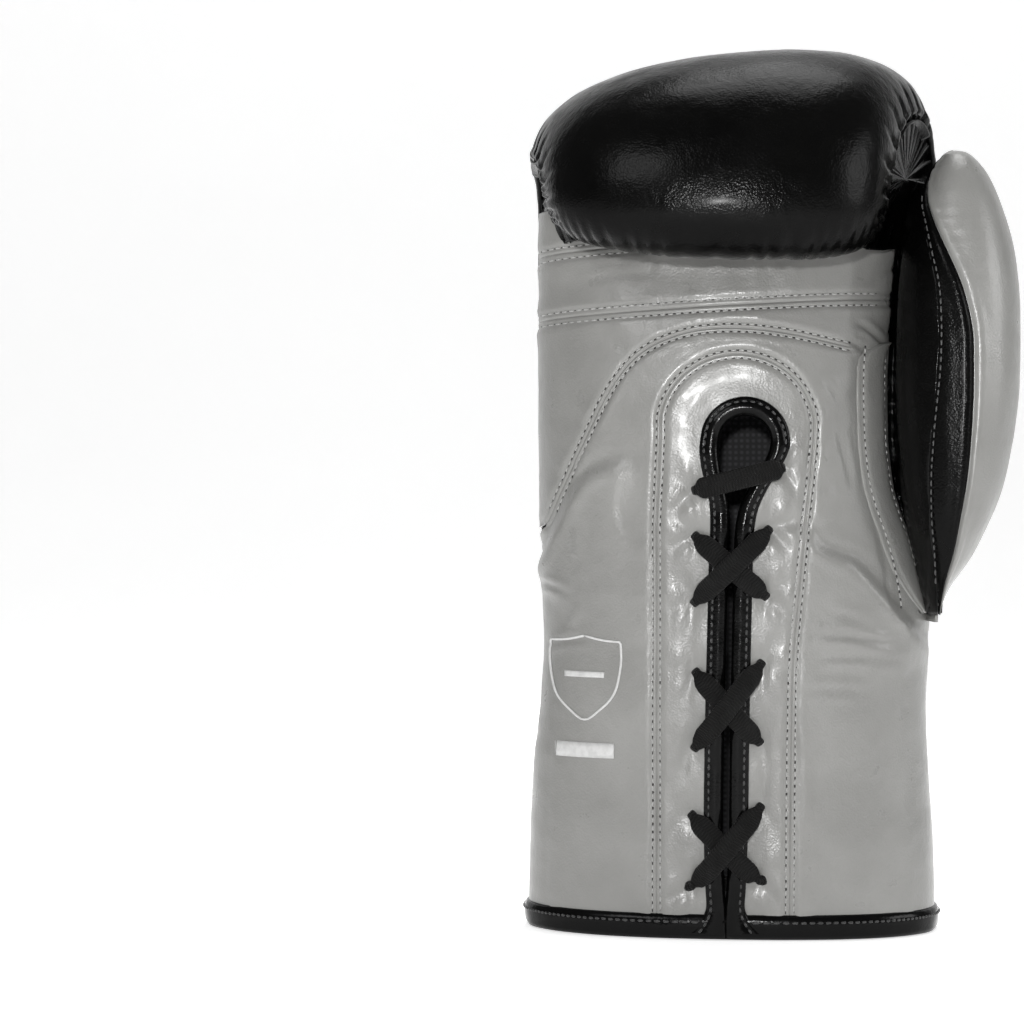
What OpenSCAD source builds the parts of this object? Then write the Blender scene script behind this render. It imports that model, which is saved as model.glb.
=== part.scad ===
/* [Body] */
// Height from the hem to the top of the knuckles' pad
glove_h = 323; // [310:1:325]
// Half width of the cuff at the hem
cuff_half_w = 75.5; // [74:0.5:77]
// Depth of the cuff in front of and behind its middle
cuff_half_d = 38; // [36:0.5:40]
// Radius of the curl on the hand's side of the pad
curl_r = 24; // [22:0.5:26]
// Thickness of the pad at the top of the curl
top_pad = 32; // [28:1:36]
// Thickness of the pad over the finger tips
front_pad = 38; // [34:1:42]
// Slope of the knuckles, up towards the thumb
knuckle_slope = 0.1; // [0:0.01:0.12]
// Thickness of the leather
leather = 1.6; // [1.2:0.1:2]
// Thickness of the lining cloth
cloth = 0.8; // [0.6:0.1:1]

/* [Lacing] */
// Height of the closed end of the lacing slit
slit_top = 189; // [186:1:191]
// Half the gap between the two slit edges
slit_half_gap = 1.8; // [1.5:0.1:2.5]
// Width of the binding on the slit edges
binding_w = 6.2; // [5:0.1:7]
// Height of the hem binding
hem_h = 9; // [7:0.5:11]
// Distance of the lace holes from the middle of the slit
hole_x = 11.9; // [11.8:0.1:12.6]
// Radius of the lace holes
hole_r = 2.5; // [2.3:0.1:2.8]
// Radius of the lace where it is bunched in its holes
lace_r = 1.9; // [1.6:0.1:2]

/* [Thumb] */
// Distance from the body's middle to the thumb's middle line
thumb_reach = 82.5; // [81:0.5:84]
// Half width of the thumb, seen from the palm
thumb_half_w = 22.5; // [21:0.5:23]
// Half depth of the thumb, palm to back
thumb_half_d = 24; // [22:0.5:24.5]

/* [Hidden] */

hem_out = 1.4;        // how far the hem binding stands out
// The body's middle, so that the glove with its thumb is centred
body_x = (cuff_half_w + hem_out - thumb_reach - thumb_half_w) / 2;
depth_y = 9;          // moves the whole glove to the middle of its depth
edge_power = 0.833;   // roundness of the cross-sections: 1 is an ellipse
curl_z = glove_h - top_pad - curl_r - 12 * knuckle_slope;
gap = 0.4;            // between panels that are sewn edge to edge
air = 0.8;            // between layers that lie on each other
pad_floor = 3;        // the pad's hand side, out from the spine
lining_in = 9.2;       // the lining, in from the outside of the glove
lining_near = 3.6;    // the same beside the slit, where there is no pad

// Cross-sections of the hand and cuff, from the hem to the start of the curl:
// height, middle's y, half widths on the little finger side, on the thumb side at the back and at the
// palm, depth behind and depth in front of the middle.
SPINE = [
    [0, 0, cuff_half_w, cuff_half_w, cuff_half_w, cuff_half_d, cuff_half_d],
    [30, 0, cuff_half_w - 0.5, cuff_half_w - 0.5, cuff_half_w - 0.5, cuff_half_d, cuff_half_d + 1],
    [60, 1, cuff_half_w - 2, cuff_half_w - 2, cuff_half_w - 2, cuff_half_d - 1, cuff_half_d + 2],
    [84, 2, cuff_half_w - 4.5, cuff_half_w - 4.5, cuff_half_w - 3, cuff_half_d - 3, cuff_half_d + 4],
    [102, 4, 70, 71, 73.5, 31, 44],
    [120, 6, 70.5, 72, 73.5, 37, 46],
    [140, 7, 71, 74, 69.5, 47, 47.5],
    [165, 8, 72.2, 76, 61.5, 54, 49],
    [200, 7, 72.6, 77, 59.2, 57, 47.5],
    [232, 6, 72.6, 77, 61.5, 58, 42],
    [curl_z, 4, 72.2, 77, 64, 57, 36]];

// Cross-sections round the curl: tilt, half widths, depth outside.
CURL = [
    [15, 72.2, 77, 55.5], [35, 71.8, 76, 50], [60, 70.5, 74, 40], [90, 68.8, 70, top_pad],
    [120, 67, 65, 33], [150, 64.5, 61, 36.5], [180, 63, 58.5, front_pad], [192, 61.5, 57.5, 37.5],
    [202, 58.5, 55, 32.5], [209, 55, 52, 23.5], [214, 51, 48, 13]];

function spline(z, col, i) =
    let (a = SPINE[max(i - 1, 0)], b = SPINE[i], c = SPINE[i + 1], d = SPINE[min(i + 2, len(SPINE) - 1)],
         h = c[0] - b[0], t = (z - b[0]) / h,
         m0 = i == 0 ? (c[col] - b[col]) / h : (c[col] - a[col]) / (c[0] - a[0]),
         m1 = i + 2 >= len(SPINE) ? (c[col] - b[col]) / h : (d[col] - b[col]) / (d[0] - b[0]))
    (2*t*t*t - 3*t*t + 1) * b[col] + (t*t*t - 2*t*t + t) * h * m0
    + (3*t*t - 2*t*t*t) * c[col] + (t*t*t - t*t) * h * m1;
function at(z, col) =
    let (last = len(SPINE) - 2,
         i = max([0, for (k = [0:last]) if (z >= SPINE[k][0]) k]))
    spline(z, col, i);

// A station: [x, y, z, tilt, left, right, right at the palm, depth out, depth in].
function level(z) = [body_x, depth_y + at(z, 1), z, 0, at(z, 2), at(z, 3), at(z, 4), at(z, 5), at(z, 6)];
function curled(c) =
    [body_x - 2 * c[0] / 180, depth_y + at(curl_z, 1) - curl_r + curl_r * cos(c[0]), curl_z + curl_r * sin(c[0]),
     c[0], c[1], c[2], c[2], c[3], 6];

// A point on a station, in by `inset`. Angle 0 is the thumb's side, 90 the back, 270 the palm.
function shift_in(v, inset) = max(v - inset, 0.4);
function point(s, angle, inset, depth_out = 0, depth_in = 0) =
    let (a = (angle + 360) % 360, c = cos(a), n = sin(a),
         half = c < 0 ? s[4] : a <= 180 ? s[5] : s[6],
         out = depth_out > 0 ? depth_out : s[7], into = depth_in > 0 ? depth_in : s[8],
         depth = a <= 180 ? out : into,
         u = sign(c) * shift_in(half, inset) * pow(abs(c), edge_power),
         v = sign(n) * shift_in(depth, inset) * pow(abs(n), edge_power))
    [s[0] + u, s[1] + v * cos(s[3]), s[2] + (v + knuckle_slope * u) * sin(s[3])];

// The angle on the palm side of a level at a given x.
function angle_at(z, x) =
    let (d = x - body_x, half = d < 0 ? at(z, 2) : at(z, 4), share = min(abs(d) / half, 0.999))
    270 + sign(d) * asin(pow(share, 1 / edge_power));
function palm_point(x, z, inset) = point(level(z), angle_at(z, x), inset);

// A sheet of two grids of points, closed round its four edges.
module plate(outer, inner) {
    r = floor(len(outer) / 2);
    c = floor(len(outer[0]) / 2);
    out = cross(outer[r][c] - outer[r][c - 1], outer[r][c] - outer[r - 1][c]) * (outer[r][c] - inner[r][c]);
    rows = len(outer);
    cols = len(outer[0]);
    n = rows * cols;
    function id(i, j, k) = k * n + i * cols + j;
    faces = concat(
        [for (i = [0:rows - 2], j = [0:cols - 2]) each [
            [id(i, j, 0), id(i, j + 1, 0), id(i + 1, j + 1, 0)], [id(i, j, 0), id(i + 1, j + 1, 0), id(i + 1, j, 0)],
            [id(i, j, 1), id(i + 1, j + 1, 1), id(i, j + 1, 1)], [id(i, j, 1), id(i + 1, j, 1), id(i + 1, j + 1, 1)]]],
        [for (i = [0:rows - 2]) each [
            [id(i, 0, 0), id(i + 1, 0, 0), id(i + 1, 0, 1)], [id(i, 0, 0), id(i + 1, 0, 1), id(i, 0, 1)],
            [id(i, cols - 1, 0), id(i + 1, cols - 1, 1), id(i + 1, cols - 1, 0)],
            [id(i, cols - 1, 0), id(i, cols - 1, 1), id(i + 1, cols - 1, 1)]]],
        [for (j = [0:cols - 2]) each [
            [id(0, j, 0), id(0, j + 1, 1), id(0, j + 1, 0)], [id(0, j, 0), id(0, j, 1), id(0, j + 1, 1)],
            [id(rows - 1, j, 0), id(rows - 1, j + 1, 0), id(rows - 1, j + 1, 1)],
            [id(rows - 1, j, 0), id(rows - 1, j + 1, 1), id(rows - 1, j, 1)]]]);
    polyhedron(points = concat([for (r = outer) each r], [for (r = inner) each r]), faces = facing(faces, out < 0));
}
function facing(faces, keep) = [for (f = faces) keep ? f : [f[2], f[1], f[0]]];

// A solid through closed rings, with flat ends.
module loft(rings) {
    m = len(rings[0]);
    last = len(rings) - 1;
    faces = concat(
        [for (i = [0:last - 1], j = [0:m - 1]) let (k = (j + 1) % m) each [
            [i * m + j, i * m + k, (i + 1) * m + k], [i * m + j, (i + 1) * m + k, (i + 1) * m + j]]],
        [for (j = [1:m - 2]) [0, j + 1, j]],
        [for (j = [1:m - 2]) [last * m, last * m + j, last * m + j + 1]]);
    polyhedron(points = [for (r = rings) each r], faces = faces);
}

// A tube of two lofts, open at its first ring and closed by domes at its last.
module pocket(outer, inner) {
    m = len(outer[0]);
    rows = len(outer);
    n = rows * m;
    function mid(r) = [for (k = [0:2]) let (v = [for (p = r) p[k]]) (min(v) + max(v)) / 2];
    faces = concat(
        [for (i = [0:rows - 2], j = [0:m - 1]) let (k = (j + 1) % m) each [
            [i * m + j, i * m + k, (i + 1) * m + k], [i * m + j, (i + 1) * m + k, (i + 1) * m + j],
            [n + i * m + j, n + (i + 1) * m + k, n + i * m + k],
            [n + i * m + j, n + (i + 1) * m + j, n + (i + 1) * m + k]]],
        [for (j = [0:m - 1]) let (k = (j + 1) % m, top = (rows - 1) * m) each [
            [top + j, top + k, 2 * n], [n + top + j, 2 * n + 1, n + top + k],
            [j, n + k, k], [j, n + j, n + k]]]);
    out = cross(outer[1][1] - outer[1][0], outer[1][0] - outer[0][0]) * (outer[1][0] - inner[1][0]);
    polyhedron(points = concat([for (r = outer) each r], [for (r = inner) each r],
                               [mid(outer[rows - 1]), mid(inner[rows - 1])]), faces = facing(faces, out < 0));
}

function steps(a, b, n) = [for (i = [0:n]) a + (b - a) * i / n];
function grid(stations, angles, inset) = [for (s = stations) [for (a = angles) point(s, a, inset)]];
function levels(heights) = [for (z = heights) level(z)];
BACK_LEVELS = [108, 120, 132, 146, 162, 180, 200, 220, 240, curl_z];

// ---- Edges and seams, as [x, z] on the palm side ----

// The slit's middle leans to the thumb side towards its keyhole.
LEAN = [[0, -1.2], [60, -0.8], [120, 0.4], [150, 1.4], [165, 3.4], [179, 5.8], [200, 6.4]];
function slit_x(z) = body_x + lookup(z, LEAN);

// The slit's edge at a distance out from it: up one side, round the keyhole and down the other.
keyhole_r = 9.5;
keyhole_z = slit_top - keyhole_r;
neck_z = 150;
EDGE_LEVELS = [hem_h + gap, 30, 55, 80, 105, 130, neck_z];
function slit_edge(out) = concat(
    [for (z = EDGE_LEVELS) [slit_x(z) - slit_half_gap - out, z]],
    [for (a = [190:-20:-10]) [slit_x(keyhole_z) + (keyhole_r + out) * cos(a), keyhole_z + (keyhole_r + out) * sin(a)]],
    [for (z = reversed(EDGE_LEVELS)) [slit_x(z) + slit_half_gap + out, z]]);

// The facing's outer edge, point for point with the slit's edge: straight up the little finger's side,
// round the keyhole, and closer to the slit on the thumb's side.
facing_w = 27;
facing_low_w = 23;
arch_z = 184;
arch_x = body_x + 3;
function facing_edge(out) = concat(
    [for (z = EDGE_LEVELS) [body_x - facing_w + 1 - out, z]],
    [for (a = [190:-20:-10]) [arch_x + (facing_w + 1 + out) * cos(a), arch_z + (facing_w + out) * sin(a)]],
    [for (z = reversed(EDGE_LEVELS)) [slit_x(z) + facing_low_w + out + max(0, z - 100) * 0.06, z]]);
function reversed(v) = [for (i = [len(v) - 1:-1:0]) v[i]];

// The right edge of the thumb's seam strip, and the strip's width.
strip_w = 10;
strip_ends = [117, 214];
function strip_x(z) = body_x + at(z, 4) * 0.953;

// The seam over the palm, from the little finger's side to the strip.
OUTER_ARCH = [[-80, 152], [-73, 168], [-66, 182], [-57, 199], [-47, 211], [-33, 218], [-16, 220.5], [5, 219], [29, 214]];

// ---- Leather of the palm side ----
function palm_sheet(edge_a, edge_b, cols, inset) =
    [for (i = [0:len(edge_a) - 1])
        [for (t = steps(0, 1, cols)) palm_point(edge_a[i][0] + t * (edge_b[i][0] - edge_a[i][0]),
                                              edge_a[i][1] + t * (edge_b[i][1] - edge_a[i][1]), inset)]];

// Each row of holes: its height, how much further out its holes are, and how much higher the right one
// is than the middle.
LACE_ROWS = [[20, 0.2, 1.2], [47, 0.7, 1.6], [70, 0, 1.2], [98.5, 0, 1.6], [122.5, 1.2, 1.2], [147, 1.6, 1.2],
             [166, 4.1, 4.1]];
function hole(row, dir) = let (r = LACE_ROWS[row]) [slit_x(r[0]) + dir * (hole_x + r[1]), r[0] + dir * r[2]];
module lace_holes(side = 0) {
    for (row = [0:len(LACE_ROWS) - 1], dir = [-1, 1])
        if (side == 0 || side == dir)
            translate(palm_point(hole(row, dir)[0], hole(row, dir)[1], 0)) rotate([90, 0, 0])
                cylinder(r = hole_r, h = 30, center = true, $fn = 24);
}

module lace_facing() {
    a = slit_edge(binding_w + gap);
    b = facing_edge(0);
    color("darkgray") difference() {
        plate(palm_sheet(a, b, 2, 0), palm_sheet(a, b, 2, leather));
        lace_holes();
    }
}

stay_inset = leather + 0.4;
module lace_stays() {
    color("dimgray") for (dir = [-1, 1]) {
        rows = [12, 30, 55, 80, 105, 130, 150, 165, 178];
        // The stays lean out with the keyhole at their tops.
        a = [for (z = rows) [slit_x(z) + dir * (8.6 + max(0, z - neck_z) * 0.3), z]];
        b = [for (z = rows) [slit_x(z) + dir * 20, z]];
        outer = palm_sheet(a, b, 1, stay_inset);
        inner = palm_sheet(a, b, 1, stay_inset + 1.2);
        difference() {
            plate(outer, inner);
            lace_holes(dir);
        }
    }
}

module slit_binding() {
    a = slit_edge(0);
    b = slit_edge(binding_w);
    color("black") plate(palm_sheet(a, b, 1, -1.8), palm_sheet(a, b, 1, 3));
}

// The side seam between grey and black: behind the widest point on the cuff, at it on the hand.
function seam_behind(z) = z < 108 ? 11 : z > 122 ? 0.5 : 11 - 10.5 * (z - 108) / 14;

module palm_lower_panel() {
    inner_edge = facing_edge(gap);
    n = len(inner_edge);
    // The outer edge follows the little finger's side seam, the outer arch, the strip and the side seam again.
    left_z = [hem_h + gap, 35, 65, 90, 108, 122, 150];
    arch = [for (p = OUTER_ARCH) [angle_at(p[1], p[0]), p[1] - gap]];
    right = concat([for (z = [208, 180, 150, strip_ends[0] - 2 * gap]) [angle_at(z, strip_x(z) - strip_w - 3 * gap), z]],
                   [for (z = [115, 106, 75, 40, hem_h + gap]) [360 + seam_behind(z), z]]);
    left = [for (z = left_z) [180 - seam_behind(z), z]];
    outer_edge = concat(left, [for (i = [0:8]) arch[i]], right);
    function across(i, t) =
        let (p = inner_edge[i], q = outer_edge[i], z = p[1] + t * (q[1] - p[1]), a0 = angle_at(p[1], p[0]))
        [a0 + t * (q[0] - a0), z];
    function sheet(inset) = [for (i = [0:n - 1]) [for (t = steps(0, 1, 5))
        let (w = across(i, t)) point(level(w[1]), w[0], inset)]];
    color("darkgray") plate(sheet(0), sheet(leather));
}

// A panel between two curves over the palm, each a list of [x, z].
module palm_strip(low, high, cols) {
    color("darkgray") plate(palm_sheet(low, high, cols, 0), palm_sheet(low, high, cols, leather));
}

function left_x(z) = body_x - at(z, 2) * 0.9985;
function right_x(z) = body_x + at(z, 4) * 0.97;
band_rise = 7; // the band's seams climb to the thumb's side
BAND_LOW = 225;
BAND_HIGH = 249;
TOP_END = curl_z + 3;
function row(z, rise, n) = [for (t = steps(0, 1, n))
    let (zz = z + rise * t) [left_x(zz) + t * (right_x(zz) - left_x(zz)), zz]];

module palm_upper_panel() {
    low = concat([[left_x(151), 151]], [for (p = OUTER_ARCH) [p[0], p[1] + gap]],
                 [[strip_x(216) - 2, 216.5]]);
    high = row(BAND_LOW - gap, band_rise, len(low) - 1);
    palm_strip(low, high, 3);
}
module palm_band() { palm_strip(row(BAND_LOW, band_rise, 12), row(BAND_HIGH, band_rise, 12), 1); }
module palm_top_panel() { palm_strip(row(BAND_HIGH + gap, band_rise, 12), row(TOP_END, 0, 12), 1); }

module thumb_seam_strip() {
    rows = steps(strip_ends[0], strip_ends[1], 9);
    a = [for (z = rows) [strip_x(z) - strip_w, z]];
    b = [for (z = rows) [strip_x(z), z]];
    color("darkgray") plate(palm_sheet(a, b, 1, -0.2), palm_sheet(a, b, 1, leather));
}

// The web is a hollow wall from the strip back to the edge of the back panel.
module thumb_web() {
    rows = [120, 132, 144, 156, 166, 174, 184, 196, 208, 220, 232, 244, 260];
    // Below the way in for the thumb it is only a flange along the strip.
    function reach(z) = z < 170 ? 0.3 : 0.93;
    function web(z, t, push) =
        let (s = level(z), p = point(s, 300 + 42 - (z > 216 ? 0 : 8), 0), q = point(s, 1, 1.2),
             m = [p[0] + 3.5, q[1] - 4.5],
             x = (1-t)*(1-t)*p[0] + 2*t*(1-t)*m[0] + t*t*q[0],
             y = (1-t)*(1-t)*p[1] + 2*t*(1-t)*m[1] + t*t*q[1] - 0.5)
        [x + push * 0.83, y - push * 0.55, z];
    function sheet(push) = [for (z = rows) [for (t = steps(0.17, reach(z), 4)) web(z, t, push)]];
    color("black") plate(sheet(0), sheet(-1.4));
}

// ---- Leather of the back ----
// Its side edges come forward from the wrist's seam to the hand's.
function back_row(s) = let (a = s[2] < 122 && s[3] == 0 ? seam_behind(s[2]) + 1.2 : 2) [for (t = steps(a, 180 - a, 14)) t];
module back_panel() {
    s = concat(levels(BACK_LEVELS), [for (c = CURL) curled(c)]);
    function sheet(inset) = [for (q = s) [for (a = back_row(q)) point(q, a, inset)]];
    color("black") plate(sheet(0), sheet(leather));
}

module fist_under_panel() {
    s = [for (c = CURL) if (c[0] >= 150) curled(c)];
    angles = steps(182, 358, 10);
    color("black") plate(grid(s, angles, 0), grid(s, angles, leather));
}

// The two ends of the curl's hollow are closed above the palm's top edge by small gussets.
gusset_r = 16.5;
module curl_gussets() {
    color("black") difference() {
        for (x = [body_x - 70, body_x + 54])
            translate([x, depth_y + at(curl_z, 1) - curl_r, curl_z]) rotate([0, 90, 0])
                cylinder(r = gusset_r, h = leather, center = true, $fn = 48);
        translate([body_x - 100, -100, TOP_END - 200 + gap]) cube(200);
    }
}

module cuff_back(heights, inset, thick) {
    s = levels(heights);
    angles = steps(12, 168, 12);
    plate(grid(s, angles, inset), grid(s, angles, inset + thick));
}
crease_z = [72, 106];
module wrist_crease_band() { color("black") cuff_back([crease_z[0], 84, 94, 102, crease_z[1]], 0, leather); }
module wrist_panel() { color("black") cuff_back([hem_h + gap, 30, 50, crease_z[0] - gap], 0, leather); }
module wrist_pad() { color("white") cuff_back([12, 30, 50, 72, 84, 100], leather + air, 5); }

badge_w = 66;
badge_h = 48;
badge_z = 42;
module wrist_badge() {
    // The badge bends round the back of the cuff.
    xs = steps(-badge_w / 2, badge_w / 2, 8);
    function back_y(x, z, out) =
        let (s = level(z), d = x, share = min(abs(d) / (s[4] + out), 0.99))
        s[1] + (s[7] + out) * pow(1 - pow(share, 2 / edge_power), edge_power / 2);
    function sheet(out) = [for (x = xs) [for (z = steps(badge_z - badge_h / 2, badge_z + badge_h / 2, 4))
        [body_x - 3 + x, back_y(x - 3, z, out), z]]];
    color("black") plate(sheet(2.4), sheet(0.5));
}

// ---- Padding ----
PAD_ANGLES = steps(15, 165, 10);
PAD_LEVELS = concat(levels([122, 134, 148, 165, 184, 205, 226, 244, curl_z]),
                    [for (c = CURL) if (c[0] <= 202) curled(c)]);
// A layer between two shares of the pad's thickness.
module pad_layer(low, high) {
    function depth_at(s, a, share) =
        let (full = shift_in(s[7], leather + air) * pow(sin(a), edge_power))
        pad_floor + share * (full - pad_floor);
    function spot(s, a, share) =
        let (u = sign(cos(a)) * shift_in(cos(a) < 0 ? s[4] : s[5], leather + air) * pow(abs(cos(a)), edge_power),
             v = depth_at(s, a, share))
        [s[0] + u, s[1] + v * cos(s[3]), s[2] + (v + knuckle_slope * u) * sin(s[3])];
    function sheet(share) = [for (s = PAD_LEVELS) [for (a = PAD_ANGLES) spot(s, a, share)]];
    plate(sheet(high), sheet(low));
}
module pad_outer_layer() { color("khaki") pad_layer(0.7, 1); }
module pad_middle_layer() { color("wheat") pad_layer(0.36, 0.66); }
module pad_inner_layer() { color("linen") pad_layer(0, 0.32); }

module palm_pad() {
    // The pad's edges keep clear of the lacing below and the thumb's web at the side.
    rows = [220, 228, 236, 246];
    a = [for (z = rows) [body_x - 50, z]];
    b = [for (z = rows) [body_x + 36, z]];
    color("linen") plate(palm_sheet(a, b, 8, leather + 1.5), palm_sheet(a, b, 8, leather + 5.5));
}

module cuff_pads() {
    // One pad on each side of the lacing, from the facing's seam round to the side.
    pad_in = leather + 1.2;
    function pad(from, to, inset) = [for (z = [14, 35, 60, 85, 108])
        [for (t = steps(0, 1, 4)) let (a0 = angle_at(z, slit_x(z) + from)) point(level(z), a0 + t * (to - a0), inset)]];
    color("linen") plate(pad(31, 364, pad_in), pad(31, 364, pad_in + 4.4));
    color("linen") plate(pad(-31, 176, pad_in), pad(-31, 176, pad_in + 4.4));
}

// ---- Lining ----
// The lining lies close behind the stays beside the slit and further in at the sides.
function lining_inset(a, z) =
    let (side = min(abs(a - 270), 180), near = 15.5, far = 20.5)
    side < near ? lining_near : side > far ? lining_in : lining_near + (lining_in - lining_near) * (side - near) / (far - near);
HAND_START = 196;
lining_back = 1.4;   // the lining's hand side on the padded hand, out from the spine
function back_room(z) = z < 100 ? 0 : lining_back + max(0, at(100, 5) - lining_in - lining_back) * max(0, 1 - (z - 100) / 22);
function lining_point(z, a, extra) =
    let (s = level(z), inset = lining_inset(a, z) + extra, room = back_room(z))
    a < 180 ? point(s, a, max(inset, lining_in + extra), room > 0 ? room + lining_in : 0) : point(s, a, inset);
module cuff_lining() {
    rows = [hem_h + 0.6, 25, 45, 65, 85, 100, 112, 124, 140, neck_z, 160, 170, 180, HAND_START - 4];
    // Half of the opening: the slit's gap, the keyhole and a straight edge over the keyhole.
    function clear(z) = z < neck_z ? 4.2 : min(13, 4.2 + (z - neck_z) * 0.4);
    function turns(z) = concat([angle_at(z, slit_x(z) + clear(z)), 285.5, 290.5], steps(301, 599, 26),
                               [609.5, 614.5, angle_at(z, slit_x(z) - clear(z)) + 360]);
    function sheet(extra) = [for (z = rows) [for (a = turns(z)) lining_point(z, a % 360, extra)]];
    color("#222222") difference() {
        plate(sheet(0), sheet(cloth));
        lace_holes();
        thumb_way();
    }
}

// The way from the hand's room into the thumb's.
module thumb_way() { translate([body_x + 50, depth_y - 14, 130]) cube([30, 17, 36]); }

module hand_lining() {
    m = 28;
    // Height, how far it draws in and how far it moves towards the palm, up to its closed end.
    rows = [[HAND_START, 0, 0], [210, 0, 0], [226, 0, 0], [243, 0, 0], [258, 1, 0.5], [267, 5, 2], [274, 12, 6]];
    function ring(r, extra) = [for (j = [0:m - 1])
        let (a = 360 * j / m, draw = lining_in + extra + r[1],
             p = point(level(min(r[0], curl_z)), a, draw, a <= 180 ? draw + lining_back - extra : 0))
        [p[0], p[1] - r[2], r[0] - (r[1] > 0 ? extra : 0)]];
    color("#222222") pocket([for (r = rows) ring(r, 0)], [for (r = rows) ring(r, cloth)]);
}

bar_z = 241;
bar_y = depth_y - 14;
bar_len = 66;
bar_r = 5.5;
module grip_bar() {
    color("linen") translate([body_x - 4, bar_y, bar_z]) rotate([0, 90, 0])
        cylinder(r = bar_r, h = bar_len, center = true, $fn = 48);
}
module grip_bar_cover() {
    color("#222222") translate([body_x - 4, bar_y, bar_z]) rotate([0, 90, 0]) difference() {
        cylinder(r = bar_r + cloth, h = bar_len + 4, center = true, $fn = 48);
        cylinder(r = bar_r + 0.05, h = bar_len + 0.2, center = true, $fn = 48);
    }
}

// ---- Hem ----
module hem_binding() {
    s = level(0);
    cut = asin(pow((slit_half_gap + 0.4) / s[8], 1 / edge_power));
    start = angle_at(0, slit_x(0) + 5);
    end = angle_at(0, slit_x(0) - 5) + 360;
    outer = [for (t = steps(0, 1, 60)) let (p = point(s, start + t * (end - start), -hem_out)) [p[0], p[1]]];
    inner = [for (t = steps(1, 0, 60)) let (p = point(s, start + t * (end - start), lining_in + 1)) [p[0], p[1]]];
    color("black") linear_extrude(height = hem_h) polygon(concat(outer, inner));
}

// ---- Lace ----
// A place on or through the palm side: [x, height, height over the leather].
function lace_at(p) = palm_point(p[0], p[1], 0) - [0, p[2], 0];
over = 3.2;     // over the leather beside a hole
ride = 5.2;     // over the binding
top_ride = 9.2; // over the strand below
under = -7.2;   // inside, on the lining
// From a hole in the low row on one side to the hole in the high row on the other, over the slit.
function rise(low, high, dir, mid) =
    let (a = hole(low, -dir), b = hole(high, dir), d = b - a) [
    [a[0], a[1], -1], [a[0] + d[0] * 0.06, a[1] + d[1] * 0.07, over], [a[0] + d[0] * 0.24, a[1] + d[1] * 0.26, mid - 0.4],
    [a[0] + d[0] * 0.5, a[1] + d[1] * 0.5, mid], [a[0] + d[0] * 0.76, a[1] + d[1] * 0.74, mid - 0.4],
    [a[0] + d[0] * 0.94, a[1] + d[1] * 0.93, over], [b[0], b[1], -1]];
// Down the inside from one row to the next.
function drop(high, low, dir) = let (a = hole(high, dir), b = hole(low, dir)) [[a[0], a[1], under], [b[0], b[1], under]];
// Half of the lace, from its highest hole on one side down to its tucked end.
function strand(dir) =
    let (m = dir > 0 ? ride : top_ride, n = dir > 0 ? top_ride : ride, a = hole(6, dir)) concat(
    [[a[0], a[1], -1]], drop(6, 5, dir), reversed(rise(4, 5, dir, n)), drop(4, 3, -dir),
    reversed(rise(2, 3, -dir, m)), drop(2, 1, dir), reversed(rise(0, 1, dir, n)), tail(-dir));
// The loose end lies folded flat inside the cuff, on the lining beside the slit.
function tail(dir) = concat([[hole(0, dir)[0], 19, under - 0.5]], [for (p = TAIL) [slit_x(0) + dir * p[0], p[1], p[2]]]);
TAIL = [[15, 24, -13.5], [17, 60, -13.5], [17, 112, -13.5], [19.5, 118, -13.5], [22, 112, -13.5], [22, 60, -13.5],
        [22, 34, -13.5], [24.5, 28, -13.5], [27, 34, -13.8], [27, 60, -14], [27, 108, -14.2]];
function top_bar() = let (a = hole(6, -1), b = hole(6, 1), d = b - a) [for (p = [[0.05, over + 0.6], [0.25, ride + 0.4],
    [0.5, ride + 0.8], [0.75, ride + 0.4], [0.95, over + 0.6]]) [a[0] + d[0] * p[0], a[1] + d[1] * p[0], p[1]]];
LACE_ROUTE = [for (p = concat(reversed(strand(-1)), top_bar(), strand(1))) lace_at(p)];

function unit(v) = v / norm(v);
function tangent(p, i) = unit(p[min(i + 1, len(p) - 1)] - p[max(i - 1, 0)]);
// Frames carried along the route without twist.
function carry(p, i, u) =
    i >= len(p) ? [] :
    let (t = tangent(p, i), v = unit(u - (u * t) * t)) concat([[v, cross(t, v)]], carry(p, i + 1, v));
module cord(p, r, sides) {
    frames = carry(p, 0, [1, 0.1, 0]);
    loft([for (i = [0:len(p) - 1]) [for (k = [0:sides - 1]) let (a = -360 * k / sides)
        p[i] + r * cos(a) * frames[i][0] + r * sin(a) * frames[i][1]]]);
}
tip_len = 12;
module lace() { color("#181818") cord(LACE_ROUTE, lace_r, 8); }
module lace_tips() {
    n = len(LACE_ROUTE) - 1;
    color("silver") for (end = [[LACE_ROUTE[0], LACE_ROUTE[1]], [LACE_ROUTE[n], LACE_ROUTE[n - 1]]]) {
        d = unit(end[0] - end[1]);
        cord([end[0] + d * 0.3, end[0] + d * tip_len], 1.8, 12);
    }
}

// ---- Thumb ----
thumb_y = depth_y - 20;
// Its outline, seen from the palm: [height, side next to the fist, outer side] as distances in from the
// outermost point, and the share of its half depth.
THUMB = [
    [121, 30.4, 27.8, 0.34], [129, 32.6, 24.2, 0.62], [140, 36.2, 16.8, 0.82], [152, 39.8, 11, 0.93],
    [168, 42.6, 5.2, 0.99], [194, 44.6, 0.8, 1], [222, 44.4, 0, 0.99], [246, 42.6, 1.6, 0.93],
    [264, 38, 6.8, 0.78], [277, 32, 13.6, 0.54], [284, 26.4, 20.4, 0.24]];
passage = 4; // the first station above the way in for the thumb
thumb_edge = body_x + thumb_reach + thumb_half_w;
// A column of THUMB at a station, which may lie between two.
function thumb_col(i, c) = lookup(i, [for (k = [0:len(THUMB) - 1]) [k, THUMB[k][c]]]);
function thumb_line(i) = [thumb_edge - (thumb_col(i, 1) + thumb_col(i, 2)) / 2, thumb_col(i, 0)];
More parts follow.
